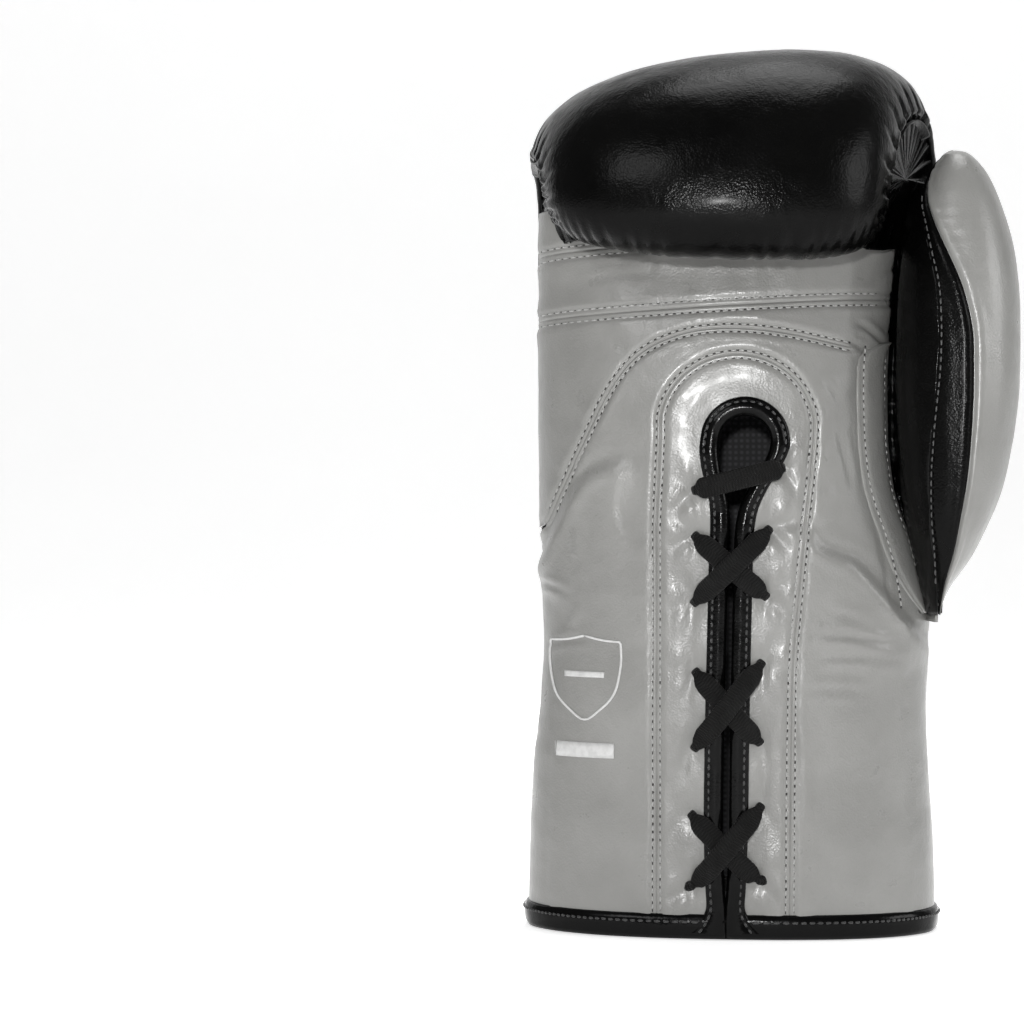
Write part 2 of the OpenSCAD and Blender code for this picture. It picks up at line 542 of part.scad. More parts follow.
// A point round the thumb. Angle 0 is the outer side, 90 the back, 180 the fist's side, 270 the palm side.
function thumb_point(i, a, inset) =
    let (last = len(THUMB) - 1, p = thumb_line(i), d = thumb_line(min(i + 1, last)) - thumb_line(max(i - 1, 0)),
         along = d / norm(d), side = [along[1], -along[0]],
         half = max((thumb_col(i, 1) - thumb_col(i, 2)) / 2 - inset, 0.5),
         deep = max(thumb_col(i, 3) * thumb_half_d - inset, 0.5),
         u = half * cos(a), v = deep * sin(a))
    [p[0] + side[0] * u, thumb_y + v, p[1] + side[1] * u];
module thumb_shell(from, to, cols, inset, thick, rows) {
    function sheet(extra) = [for (i = rows) [for (a = steps(from, to, cols)) thumb_point(i, a, inset + extra)]];
    plate(sheet(0), sheet(thick));
}
function rings(last, inset) = [for (i = [passage, 5, 6, 7, 8, last]) [for (j = [0:19]) thumb_point(i, 18 * j, inset)]];
thumb_pad_t = 6;
module thumb_outer_panel() { color("darkgray") thumb_shell(-80, 128, 12, 0, leather, [0:10]); }
module thumb_inner_panel() { color("black") thumb_shell(130, 278, 8, 0, leather, [passage:10]); }
// Padding all round the tip, and on the outer side only beside the way in.
module thumb_pad() {
    t = leather + air;
    color("khaki") pocket(rings(9, t), rings(8.4, t + thumb_pad_t));
    color("khaki") thumb_shell(-70, 118, 8, t, thumb_pad_t, [2:passage - 1]);
}
module thumb_lining() {
    t = leather + thumb_pad_t + 2 * air;
    color("#222222") pocket(rings(8.3, t), rings(8.24, t + cloth));
}
// The keeper ties the thumb's tip to the side of the fist.
module thumb_keeper() {
    color("black") translate([body_x + 65, depth_y - 10, 268]) rotate([0, 24, 0]) cube([1.6, 12, 12], center = true);
}

hem_binding();
slit_binding();
lace_facing();
lace_stays();
palm_lower_panel();
palm_upper_panel();
palm_band();
palm_top_panel();
thumb_seam_strip();
thumb_web();
back_panel();
fist_under_panel();
curl_gussets();
wrist_crease_band();
wrist_panel();
wrist_badge();
pad_outer_layer();
pad_middle_layer();
pad_inner_layer();
palm_pad();
cuff_pads();
wrist_pad();
cuff_lining();
hand_lining();
grip_bar();
grip_bar_cover();
thumb_keeper();
lace();
lace_tips();
thumb_outer_panel();
thumb_inner_panel();
thumb_pad();
thumb_lining();
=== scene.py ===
"""A right-hand lace-up boxing glove: leather skins, seams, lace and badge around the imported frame."""

import math

import bpy
import numpy as np
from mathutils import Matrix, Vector


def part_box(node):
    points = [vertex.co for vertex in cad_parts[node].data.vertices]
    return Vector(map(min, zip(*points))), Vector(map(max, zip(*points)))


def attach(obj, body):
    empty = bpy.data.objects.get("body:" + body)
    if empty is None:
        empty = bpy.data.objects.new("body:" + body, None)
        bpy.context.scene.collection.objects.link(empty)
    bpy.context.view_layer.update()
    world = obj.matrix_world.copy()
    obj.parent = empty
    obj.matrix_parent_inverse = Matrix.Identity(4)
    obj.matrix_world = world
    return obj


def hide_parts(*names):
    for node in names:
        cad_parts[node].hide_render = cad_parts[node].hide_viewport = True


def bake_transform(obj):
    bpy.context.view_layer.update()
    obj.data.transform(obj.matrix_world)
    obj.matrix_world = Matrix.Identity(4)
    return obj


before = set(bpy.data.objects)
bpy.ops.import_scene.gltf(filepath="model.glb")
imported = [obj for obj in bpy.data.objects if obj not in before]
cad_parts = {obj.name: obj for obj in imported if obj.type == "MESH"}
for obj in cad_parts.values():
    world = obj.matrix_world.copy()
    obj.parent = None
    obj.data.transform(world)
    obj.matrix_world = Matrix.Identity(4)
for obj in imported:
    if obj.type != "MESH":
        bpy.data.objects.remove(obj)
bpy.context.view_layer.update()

# ---- Driving dimensions, in millimetres ----
# Leather, slit gap and binding are up to 0.5 mm off those of the CAD source.
MM = 0.001
GLOVE_H = 323
CUFF_W = 75.5
CUFF_D = 38
CURL_R = 24
TOP_PAD = 32
FRONT_PAD = 38
KNUCKLE_SLOPE = 0.1
LEATHER = 1.5
CLOTH = 0.8
BODY_X = -14.05
DEPTH_Y = 9
EDGE_POWER = 0.833
CURL_Z = GLOVE_H - TOP_PAD - CURL_R - 12 * KNUCKLE_SLOPE
SLIT_TOP = 189
SLIT_HALF_GAP = 1.3
BINDING_W = 6.4
HOLE_X = 11.9
LINING_IN = 9.2
LINING_NEAR = 3.6
LACE_W = 7.6
LACE_T = 1.5
BUNCHED_W = 3.4      # the lace's width in its holes
STITCH = 2.85        # from one needle hole to the next
ROW_GAP = 1.45       # from a seam to the stitch row beside it
BAND_ROW_GAP = 2.1   # the same on the band's seams

# Cross-sections of the hand and cuff: height, middle's y, half widths on the little finger's side, on the
# thumb's side at the back and at the palm, depth behind and in front of the middle.
SPINE = [
    [0, 0, CUFF_W, CUFF_W, CUFF_W, CUFF_D, CUFF_D],
    [30, 0, CUFF_W - 0.5, CUFF_W - 0.5, CUFF_W - 0.5, CUFF_D, CUFF_D + 1],
    [60, 1, CUFF_W - 2, CUFF_W - 2, CUFF_W - 2, CUFF_D - 1, CUFF_D + 2],
    [84, 2, CUFF_W - 4.5, CUFF_W - 4.5, CUFF_W - 3, CUFF_D - 3, CUFF_D + 4],
    [102, 4, 70, 71, 73.5, 31, 44],
    [120, 6, 70.5, 72, 73.5, 37, 46],
    [140, 7, 71, 74, 69.5, 47, 47.5],
    [165, 8, 72.2, 76, 61.5, 54, 49],
    [200, 7, 72.6, 77, 59.2, 57, 47.5],
    [232, 6, 72.6, 77, 61.5, 58, 42],
    [CURL_Z, 4, 72.2, 77, 64, 57, 36]]
# Cross-sections round the curl: tilt, half widths, depth outside. The last row closes its tip. On the little
# finger's side the skin is up to about 3 mm fuller than the CAD pad.
CURL = [
    [0, 72.2, 77, 57], [15, 72.2, 77, 55.5], [35, 72.5, 76, 50], [60, 73, 74, 40], [90, 72, 70, TOP_PAD],
    [120, 69, 65, 33], [150, 65.5, 61, 36.5], [180, 63.5, 58.5, FRONT_PAD], [192, 61.5, 57.5, 37.5],
    [202, 58.5, 55, 32.5], [209, 55, 52, 23.5], [214, 51, 48, 13], [216.5, 49, 46, 0.6]]
CURL_END = 216.5
# Cross-sections of the thumb: height, its side next to the fist and its outer side, in from its outermost
# point, and the share of its half depth.
THUMB = [
    [117, 29.6, 28.6, 0.1], [121, 30.4, 27.8, 0.34], [129, 32.6, 24.2, 0.62], [140, 36.2, 16.8, 0.82],
    [152, 39.8, 11, 0.93], [168, 42.6, 5.2, 0.99], [194, 44.6, 0.8, 1], [222, 44.4, 0, 0.99],
    [246, 42.6, 1.6, 0.93], [264, 38.4, 6.2, 0.8], [275, 34, 11, 0.62], [281.5, 30, 15.8, 0.42],
    [284.6, 26.8, 19.6, 0.22], [285.6, 24, 22.4, 0.04]]
THUMB_EDGE = 90.95
THUMB_HALF_D = 24
THUMB_Y = DEPTH_Y - 20


# ---- Curves and noise ----
def smooth_table(rows):
    """A smooth function through rows of [key, values...]."""
    rows = np.asarray(rows, float)
    x, y = rows[:, 0], rows[:, 1:]
    slope = np.empty_like(y)
    slope[1:-1] = (y[2:] - y[:-2]) / (x[2:] - x[:-2])[:, None]
    slope[0] = (y[1] - y[0]) / (x[1] - x[0])
    slope[-1] = (y[-1] - y[-2]) / (x[-1] - x[-2])

    def value(v):
        v = np.clip(np.asarray(v, float), x[0], x[-1])
        i = np.clip(np.searchsorted(x, v, side="right") - 1, 0, len(x) - 2)
        h = (x[i + 1] - x[i])[..., None]
        t = ((v - x[i]) / (x[i + 1] - x[i]))[..., None]
        return ((2 * t**3 - 3 * t**2 + 1) * y[i] + (t**3 - 2 * t**2 + t) * h * slope[i]
                + (3 * t**2 - 2 * t**3) * y[i + 1] + (t**3 - t**2) * h * slope[i + 1])
    return value


def through(points, n, corners=()):
    """n points on a smooth curve through points, spread by index, with sharp corners at some of them."""
    points = np.asarray(points, float)
    cuts = [0, *corners, len(points) - 1]
    u = np.linspace(0, len(points) - 1, n)
    out = np.empty((n, points.shape[1]))
    for a, b in zip(cuts[:-1], cuts[1:]):
        keys = np.arange(a, b + 1)[:, None]
        curve = smooth_table(np.hstack([keys, points[a:b + 1]]))
        inside = (u >= a) & (u <= b)
        out[inside] = curve(u[inside])
    return out


def evenly(points, step):
    """Points every step along a polyline."""
    points = np.asarray(points, float)
    run = np.concatenate([[0], np.cumsum(np.linalg.norm(np.diff(points, axis=0), axis=1))])
    n = max(2, int(round(run[-1] / step)) + 1)
    marks = np.linspace(0, run[-1], n)
    return np.stack([np.interp(marks, run, points[:, k]) for k in range(points.shape[1])], axis=1)


def lattice(cells, seed):
    """A repeatable random value from 0 to 1 for each cell."""
    c = cells.astype(np.int64)
    mixed = c[..., 0] * 73856093 ^ c[..., 1] * 19349663 ^ c[..., 2] * 83492791 ^ (seed * 2654435761)
    mixed = (mixed ^ (mixed >> 13)) * 1274126177 & 0xFFFFFFFF
    mixed = (mixed ^ (mixed >> 16)) * 2246822519 & 0xFFFFFFFF
    return (mixed & 0xFFFFFF) / float(0xFFFFFF)


def noise(p, size, seed=1, octaves=2):
    """Smooth noise from -1 to 1 over points, with features of about size."""
    p = np.asarray(p, float)
    if p.shape[-1] == 2:
        p = np.concatenate([p, np.zeros(p.shape[:-1] + (1,))], axis=-1)
    total, amount, weight = 0.0, 1.0, 0.0
    for octave in range(octaves):
        q = p / (size / 2**octave)
        low = np.floor(q)
        f = q - low
        f = f * f * (3 - 2 * f)
        value = 0.0
        for corner in range(8):
            step = np.array([corner & 1, corner >> 1 & 1, corner >> 2 & 1])
            share = np.prod(np.where(step, f, 1 - f), axis=-1)
            value = value + share * lattice(low + step, seed + octave)
        total = total + amount * (2 * value - 1)
        weight += amount
        amount *= 0.5
    return total / weight


def ramp(x, low, high):
    """0 below low, 1 above high and smooth between them."""
    t = np.clip((np.asarray(x, float) - low) / (high - low), 0, 1)
    return t * t * (3 - 2 * t)


def bump(d, width):
    return np.exp(-(np.asarray(d, float) / width) ** 2)


# ---- The body's surface ----
spine_at = smooth_table(SPINE)
curl_at = smooth_table(CURL)


def body_point(s, angle):
    """s is the height up to the curl, then CURL_Z plus the tilt. Angle 0 is the thumb's side, 90 the back."""
    s, angle = np.broadcast_arrays(np.asarray(s, float), np.asarray(angle, float))
    z = np.minimum(s, CURL_Z)
    tilt = np.maximum(s - CURL_Z, 0)
    row, top = spine_at(z), curl_at(tilt)
    curled = tilt > 0
    a = np.radians(angle % 360)
    c, n = np.cos(a), np.sin(a)
    left = np.where(curled, top[..., 0], row[..., 1])
    right_back = np.where(curled, top[..., 1], row[..., 2])
    right_palm = np.where(curled, top[..., 1], row[..., 3])
    half = np.where(c < 0, left, np.where(n >= 0, right_back, right_palm))
    inner = 6 * np.sqrt(np.clip(1 - ((tilt - 200) / 17) ** 2 * (tilt > 200), 0.01, 1))
    depth = np.where(n >= 0, np.where(curled, top[..., 2], row[..., 4]), np.where(curled, inner, row[..., 5]))
    u = np.sign(c) * half * np.abs(c) ** EDGE_POWER
    v = np.sign(n) * depth * np.abs(n) ** EDGE_POWER
    t = np.radians(tilt)
    x = BODY_X - 2 * tilt / 180 + u
    y = DEPTH_Y + row[..., 0] - CURL_R + CURL_R * np.cos(t) + v * np.cos(t)
    zz = z + CURL_R * np.sin(t) + (v + KNUCKLE_SLOPE * u) * np.sin(t)
    return np.stack([x, y, zz], axis=-1)


def unit(v):
    return v / np.maximum(np.linalg.norm(v, axis=-1, keepdims=True), 1e-9)


def body_frame(s, angle):
    """Points on the body and the directions out of it."""
    s, angle = np.broadcast_arrays(np.asarray(s, float), np.asarray(angle, float))
    round_it = body_point(s, angle + 0.7) - body_point(s, angle - 0.7)
    up_it = body_point(s + 0.5, angle) - body_point(np.maximum(s - 0.5, 0), angle)
    return body_point(s, angle), unit(np.cross(round_it, up_it))


def angle_at(z, x):
    """The angle on the palm side at a height and an x."""
    row = spine_at(z)
    d = np.asarray(x, float) - BODY_X
    share = np.minimum(np.abs(d) / np.where(d < 0, row[..., 1], row[..., 3]), 0.999)
    return 270 + np.sign(d) * np.degrees(np.arcsin(share ** (1 / EDGE_POWER)))


def palm_frame(x, z):
    return body_frame(z, angle_at(z, x))


# ---- Seams and edges of the palm, as [x, z] ----
LEAN = [[0, -1.2], [60, -0.8], [120, 0.4], [150, 1.4], [165, 3.4], [179, 5.8], [200, 6.4]]
KEYHOLE_R = 9.5
KEYHOLE_Z = SLIT_TOP - KEYHOLE_R
NECK_Z = 150
EDGE_LEVELS = [2.5, 5, 8, 12, 20, 40, 65, 90, 115, 136, 148, 156, 163, 169, 175]
ARC = np.radians(np.linspace(180, 0, 9))
# Half the slit's width by height: its edges meet at the hem, and it opens into the keyhole.
slit_half = smooth_table([[0, -0.15], [10, -0.15], [18, 0.5], [28, SLIT_HALF_GAP], [146, SLIT_HALF_GAP],
                          [152, 1.6], [158, 2.7], [164, 4.9], [170, 7.5], [175, 9.1], [180, KEYHOLE_R]])
lean_at = smooth_table(LEAN)


def slit_x(z):
    return BODY_X + lean_at(z)[..., 0]


def flare(z):
    """How much wider the bindings get as they run into the hem."""
    return 1 + 1.5 * np.clip(1 - np.asarray(z, float) / 15, 0, 1) ** 2


def both_sides(left, arc, right):
    return np.array(left + arc + right[::-1], float)


def slit_edge(out):
    def side(d):
        return [[slit_x(z) + d * (slit_half(z)[0] + out * flare(z)), z] for z in EDGE_LEVELS]
    arc = [[slit_x(KEYHOLE_Z) + (KEYHOLE_R + out) * math.cos(a),
            KEYHOLE_Z + (KEYHOLE_R + out) * math.sin(a)]
           for a in ARC]
    return both_sides(side(-1), arc, side(1))


FACING_W = 27
FACING_LOW_W = 23
ARCH_Z = 184
FACING_LEVELS = [2.5, 5, 8, 12, 20, 40, 60, 80, 95, 108, 120, 130, 138, 145, 150]
FACING_ARC = np.radians(np.linspace(190, -10, 9))


def facing_edge():
    left = [[BODY_X - FACING_W + 1, z] for z in FACING_LEVELS]
    right = [[slit_x(z) + FACING_LOW_W + max(0, z - 100) * 0.06, z] for z in FACING_LEVELS]
    arc = [[BODY_X + 3 + (FACING_W + 1) * math.cos(a), ARCH_Z + FACING_W * math.sin(a)]
           for a in FACING_ARC]
    return both_sides(left, arc, right)


STRIP_W = 10
STRIP_ROWS = (0.13, 0.87)    # its stitch rows, as shares of its width
STRIP_LOW, STRIP_HIGH = 117, 216.5
BAND_LOW, BAND_HIGH, BAND_RISE = 225, 249, 7
TOP_END = CURL_Z + 3
OUTER_ARCH = through([[-82, 150], [-73, 168], [-66, 182], [-57, 199], [-47, 211], [-33, 218], [-16, 220.5],
                      [5, 219], [29, 214]], 60)


def strip_x(z):
    return BODY_X + spine_at(z)[..., 3] * 0.953


def left_x(z):
    return BODY_X - spine_at(z)[..., 1] * 0.9985


def right_x(z):
    return BODY_X + spine_at(z)[..., 3] * 0.97


def across_palm(z, rise, n):
    """A line over the palm from side to side, rising to the thumb's side."""
    zz = z + rise * np.linspace(0, 1, n)
    return np.stack([np.linspace(left_x(zz[0]), right_x(zz[-1]), n), zz], axis=1)


def strip_edge(out, n=40):
    z = np.linspace(STRIP_LOW, STRIP_HIGH, n)
    return np.stack([strip_x(z) - out, z], axis=1)


FACING_SEAM = through(facing_edge(), 160)
BAND_SEAMS = [across_palm(BAND_LOW, BAND_RISE, 24), across_palm(BAND_HIGH, BAND_RISE, 24)]
STRIP_SEAM = strip_edge(STRIP_W)
LACE_ROWS = [[20, 0.2, 1.2], [47, 0.7, 1.6], [70, 0, 1.2], [98.5, 0, 1.6], [122.5, 1.2, 1.2], [147, 1.6, 1.2],
             [166, 4.1, 4.1]]


def hole(row, side):
    z, out, up = LACE_ROWS[row]
    return np.array([slit_x(z) + side * (HOLE_X + out), z + side * up])


def distance(x, z, line):
    """The distance of each point from a line, and how far along the line its nearest point is."""
    best = np.full(x.shape, 1e9)
    along = np.zeros(x.shape)
    run = 0.0
    for a, b in zip(line[:-1], line[1:]):
        d = b - a
        length = float(np.hypot(*d))
        t = np.clip(((x - a[0]) * d[0] + (z - a[1]) * d[1]) / (length**2), 0, 1)
        gap = np.hypot(x - a[0] - t * d[0], z - a[1] - t * d[1])
        near = gap < best
        best = np.where(near, gap, best)
        along = np.where(near, run + t * length, along)
        run += length
    return best, along


def seam_relief(d, along, row, seed):
    """A fold at the seam, a dip under each stitch row and puckered ridges beyond them."""
    pucker = 1 + 0.9 * noise(np.stack([along, np.full(along.shape, 7.0)], axis=-1), 5.5, seed, 2)
    return (-0.45 * bump(d, 0.4) - 0.38 * bump(d - row, 0.5)
            + (0.34 * bump(d - row - 2.0, 1.5) + 0.25 * bump(d - row - 4.6, 2.6)) * pucker)


# The edges of the pads in the cuff show through the leather.
PAD_EDGES = [through([[-92, 128], [-82, 141], [-72, 160], [-64, 169], [-54, 172], [-44, 169]], 40),
             through([[14, 152], [18, 143], [25, 139], [32, 136], [43, 124], [54, 111], [62, 100]], 40)]
# Creases: where they start and end, and how deep they are.
CREASES = [[14, 110, 46, 106, 0.7], [17, 102, 52, 99, 0.5], [12, 90, 40, 88, 0.55], [20, 118, 36, 113, 0.5],
           [-62, 186, -52, 205, 0.3], [-86, 128, -70, 123, 0.5], [-84, 104, -62, 108, 0.35],
           [20, 60, 44, 64, 0.25], [24, 186, 31, 160, 0.45], [18, 204, 28, 190, 0.35],
           [-40, 60, -40, 30, 0.3], [10, 78, 12, 40, 0.3], [30, 224, 46, 212, 0.6],
           [26, 219, 40, 206, 0.4], [-70, 238, -40, 240, 0.25], [34, 236, 52, 246, 0.4]]


def palm_relief(x, z):
    """How far the palm's leather stands out from the plain section."""
    h = np.zeros(x.shape)
    for seed, (line, row) in enumerate([(FACING_SEAM, ROW_GAP), (OUTER_ARCH, ROW_GAP),
                                        (BAND_SEAMS[0], BAND_ROW_GAP), (BAND_SEAMS[1], BAND_ROW_GAP)]):
        d, along = distance(x, z, line)
        h += seam_relief(d, along, row, 3 + seed)
    d, along = distance(x, z, STRIP_SEAM)
    h += 0.5 * seam_relief(d, along, 1.6, 11)
    h += cuff_pad_relief(x, z) + hole_relief(x, z)
    for x0, z0, x1, z1, deep in CREASES:
        line = through([[x0, z0], [(x0 + x1) / 2, (z0 + z1) / 2 + 1.2], [x1, z1]], 12)
        d, along = distance(x, z, line)
        fade = ramp(along, 0, 7) * ramp(math.hypot(x1 - x0, z1 - z0) - along, 0, 9)
        h += fade * deep * (0.9 * bump(d - 2.2, 1.5) - bump(d, 1.0))
    p = np.stack([x, z], axis=-1)
    return h + 0.42 * noise(p, 26, 21, 3) + 0.1 * noise(p, 5, 22, 2)


def cuff_pad_relief(x, z):
    """The cuff's pads lift the leather below their edges."""
    h = np.zeros(x.shape)
    for line in PAD_EDGES:
        d, along = distance(x, z, line)
        edge_z = np.interp(x, line[:, 0], line[:, 1])
        below = np.where(z < edge_z, 1, -1) * d
        ends = ramp(along, 0, 12) * ramp(line_length(line) - along, 0, 12)
        h += ends * (1.5 * ramp(below, -2.5, 4) * ramp(-below, -34, -8) + 0.6 * bump(below - 3.5, 2.5)
                     - 0.6 * bump(below + 2, 2))
    return h


def line_length(line):
    return float(np.linalg.norm(np.diff(line, axis=0), axis=1).sum())


def hole_relief(x, z):
    """The lace pulls the leather in at its holes, with puckers that run out from each."""
    h = np.zeros(x.shape)
    for row in range(len(LACE_ROWS)):
        for side in (-1, 1):
            c = hole(row, side)
            r = np.hypot(x - c[0], z - c[1])
            turn = np.arctan2(z - c[1], (x - c[0]) * side)
            rays = np.cos(5 * turn + 1.3 * row + side)
            h += -1.5 * bump(r, 3.6) + 0.55 * rays * bump(r - 7, 4.2) * ramp(np.cos(turn), -0.5, 0.4)
    return h


def palm_skin(x, z, out=0.0):
    """Points on the palm's leather, and the directions out of it."""
    x, z = np.broadcast_arrays(np.asarray(x, float), np.asarray(z, float))
    p, n = palm_frame(x, z)
    return p + n * (palm_relief(x, z) + out)[..., None], n


# ---- Meshes ----
def add_mesh(name, points, faces, material):
    mesh = bpy.data.meshes.new(name)
    points = np.asarray(points, float).reshape(-1, 3) * MM
    mesh.from_pydata(points.tolist(), [], [tuple(int(i) for i in f) for f in faces])
    mesh.polygons.foreach_set("use_smooth", [True] * len(mesh.polygons))
    mesh.materials.append(material)
    mesh.update()
    obj = bpy.data.objects.new(name, mesh)
    bpy.context.scene.collection.objects.link(obj)
    return obj


def grid_faces(rows, cols, start=0, flip=False, wrap=False):
    i, j = np.meshgrid(np.arange(rows - 1), np.arange(cols if wrap else cols - 1), indexing="ij")
    k = (j + 1) % cols
    corners = [i * cols + j, i * cols + k, (i + 1) * cols + k, (i + 1) * cols + j]
    quads = np.stack(corners, axis=-1).reshape(-1, 4)
    if flip:
        quads = quads[:, ::-1]
    return quads + start


def sheet_normals(p):
    return unit(np.cross(np.gradient(p, axis=1), np.gradient(p, axis=0)))


def shell(name, p, n, material, thick=LEATHER):
    """A sheet with its outside at p, closed round its edges."""
    rows, cols = p.shape[:2]
    inner = p - n * thick
    facing = np.cross(p[1:, :-1] - p[:-1, :-1], p[:-1, 1:] - p[:-1, :-1])
    flip = float((facing * n[:-1, :-1]).sum()) > 0
    faces = [grid_faces(rows, cols, 0, flip), grid_faces(rows, cols, rows * cols, not flip)]
    ids = np.arange(rows * cols).reshape(rows, cols)
    border = np.concatenate([ids[0, :], ids[1:, -1], ids[-1, -2::-1], ids[-2:0:-1, 0]])
    after = np.roll(border, -1)
    wall = np.stack([border, border + rows * cols, after + rows * cols, after], axis=1)
    faces.append(wall[:, ::-1] if flip else wall)
    points = np.concatenate([p.reshape(-1, 3), inner.reshape(-1, 3)])
    return add_mesh(name, points, np.concatenate(faces), material)


def tube(name, rings, material, close_ends=True):
    """A mesh through closed rings, an array of [ring, point, xyz]."""
    rows, cols = rings.shape[:2]
    faces = [tuple(f) for f in grid_faces(rows, cols, 0, False, True)]
    points = rings.reshape(-1, 3)
    if close_ends:
        points = np.concatenate([points, rings[0].mean(axis=0)[None], rings[-1].mean(axis=0)[None]])
        n = rows * cols
        faces += [(n, (j + 1) % cols, j) for j in range(cols)]
        faces += [(n + 1, n - cols + j, n - cols + (j + 1) % cols) for j in range(cols)]
    centre = rings.mean(axis=1)
    a, b, c = rings[1, 0], rings[1, 1 % cols], rings[2, 0]
    if np.dot(np.cross(b - a, c - a), a - centre[1]) < 0:
        faces = [f[::-1] for f in faces]
    return add_mesh(name, points, faces, material)


def full_turn(n):
    return np.linspace(0, 2 * math.pi, n + 1)[:-1]


def square(nu, nw, low=-1):
    """Two grids: u from low to 1 and w from -1 to 1."""
    return np.meshgrid(np.linspace(low, 1, nu), np.linspace(-1, 1, nw), indexing="ij")


def crowded(n):
    """n shares from 0 to 1, close together at both ends."""
    return (1 - np.cos(np.pi * np.linspace(0, 1, n))) / 2


# In degrees: the seam with the back on the little finger's side, and how far round the skin is stretched.
LEFT_SEAM = 178.5
REACH = 25


def side_reach(z, a):
    """Stretches the palm's skin on the little finger's side, so that left_x lands on the seam."""
    gap = angle_at(z, left_x(z)) - LEFT_SEAM
    return a - gap * np.clip(1 - (a - LEFT_SEAM - gap) / REACH, 0, 1) ** 2


def palm_panel(name, low, high, cols, node):
    """A grey panel of the palm between two edges of [x, z], point for point."""
    t = crowded(cols)[None, :, None]
    xz = low[:, None, :] + t * (high - low)[:, None, :]
    x, z = xz[..., 0], xz[..., 1]
    p, n = body_frame(z, side_reach(z, angle_at(z, x)))
    obj = shell(name, p + n * palm_relief(x, z)[..., None], n, GREY)
    piece(obj, nodes=[node])


# ---- Materials ----
def new_material(name, slot_colour, roughness, **extra):
    """A material with its shader's plain values set, its shader, and the calls that add nodes to it."""
    material = bpy.data.materials.new(name)
    material.use_nodes = True
    shader = material.node_tree.nodes["Principled BSDF"]
    shader.inputs["Base Color"].default_value = (*slot_colour, 1)
    shader.inputs["Roughness"].default_value = roughness
    for socket, value in extra.items():
        shader.inputs[socket.replace("_", " ")].default_value = value
    material.diffuse_color = (*slot_colour, 1)
    return material, shader, Nodes(material)


class Nodes:
    """Short calls that add nodes to a material."""

    def __init__(self, material):
        self.tree = material.node_tree
        self.place = self.add("ShaderNodeTexCoord").outputs["Object"]

    def add(self, kind, **settings):
        node = self.tree.nodes.new(kind)
        for key, value in settings.items():
            setattr(node, key, value)
        return node

    def link(self, a, b):
        self.tree.links.new(a, b)

    def noise(self, scale, detail=4.0, stretch=None):
        node = self.add("ShaderNodeTexNoise")
        node.inputs["Scale"].default_value = scale
        node.inputs["Detail"].default_value = detail
        self.link(self.stretched(stretch), node.inputs["Vector"])
        return node.outputs["Fac"]

    def stretched(self, stretch):
        if stretch is None:
            return self.place
        node = self.add("ShaderNodeMapping")
        node.inputs["Scale"].default_value = stretch
        self.link(self.place, node.inputs["Vector"])
        return node.outputs["Vector"]

    def cells(self, scale):
        node = self.add("ShaderNodeTexVoronoi", feature="F1")
        node.inputs["Scale"].default_value = scale
        self.link(self.place, node.inputs["Vector"])
        return node.outputs["Distance"]

    def range(self, value, low, high, to_low, to_high):
        node = self.add("ShaderNodeMapRange")
        sockets = ("From Min", "From Max", "To Min", "To Max")
        for socket, number in zip(sockets, (low, high, to_low, to_high)):
            node.inputs[socket].default_value = number
        self.link(value, node.inputs["Value"])
        return node.outputs["Result"]

    def math(self, operation, a, b):
        node = self.add("ShaderNodeMath", operation=operation)
        for socket, value in zip(node.inputs, (a, b)):
            if isinstance(value, (int, float)):
                socket.default_value = value
            else:
                self.link(value, socket)
        return node.outputs[0]

    def colours(self, value, *stops):
        node = self.add("ShaderNodeValToRGB")
        elements = node.color_ramp.elements
        while len(elements) < len(stops):
            elements.new(0.5)
        for element, (position, colour) in zip(elements, stops):
            element.position = position
            element.color = (*colour, 1)
        self.link(value, node.inputs["Fac"])
        return node.outputs["Color"]

    def tint(self, shader, value, *stops):
        self.link(self.colours(value, *stops), shader.inputs["Base Color"])

    def gloss(self, shader, value, low, high):
        """Roughness from low to high as the value goes over the middle of its range."""
        self.link(self.range(value, 0.3, 0.7, low, high), shader.inputs["Roughness"])

    def bumps(self, shader, *layers):
        """Each layer is a height, its depth in metres and its strength."""
        last = None
        for height, depth, strength in layers:
            node = self.add("ShaderNodeBump")
            node.inputs["Distance"].default_value = depth
            node.inputs["Strength"].default_value = strength
            self.link(height, node.inputs["Height"])
            if last:
                self.link(last, node.inputs["Normal"])
            last = node.outputs["Normal"]
        self.link(last, shader.inputs["Normal"])


def leather(name, dark, light, rough_low, rough_high, coat, grain=0.5, specular=0.5):
    """Smooth finished leather: fine grain, soft creases, and uneven gloss and colour."""
    material, shader, n = new_material(name, light, rough_low, Coat_Weight=coat, Coat_Roughness=0.16,
                                       Specular_IOR_Level=specular)
    n.tint(shader, n.noise(34, 5), (0.3, dark), (0.7, light))
    n.gloss(shader, n.noise(120, 6), rough_low, rough_high)
    pores = n.cells(1300)
    creases = n.noise(360, 8, (1, 1, 0.6))
    n.bumps(shader, (creases, 0.0005, 0.7 * grain), (pores, 0.00012, grain), (n.noise(70, 3), 0.0008, 0.3))
    return material


def darker(colour, share):
    return tuple(c * share for c in colour)


def foam(name, colour):
    material, shader, n = new_material(name, colour, 0.85)
    n.tint(shader, n.noise(90, 4), (0.3, darker(colour, 0.82)), (0.7, colour))
    n.bumps(shader, (n.cells(900), 0.0003, 0.6))
    return material


WEAVE_SCALE = 900 / 6.28    # of the cloth's two wave textures


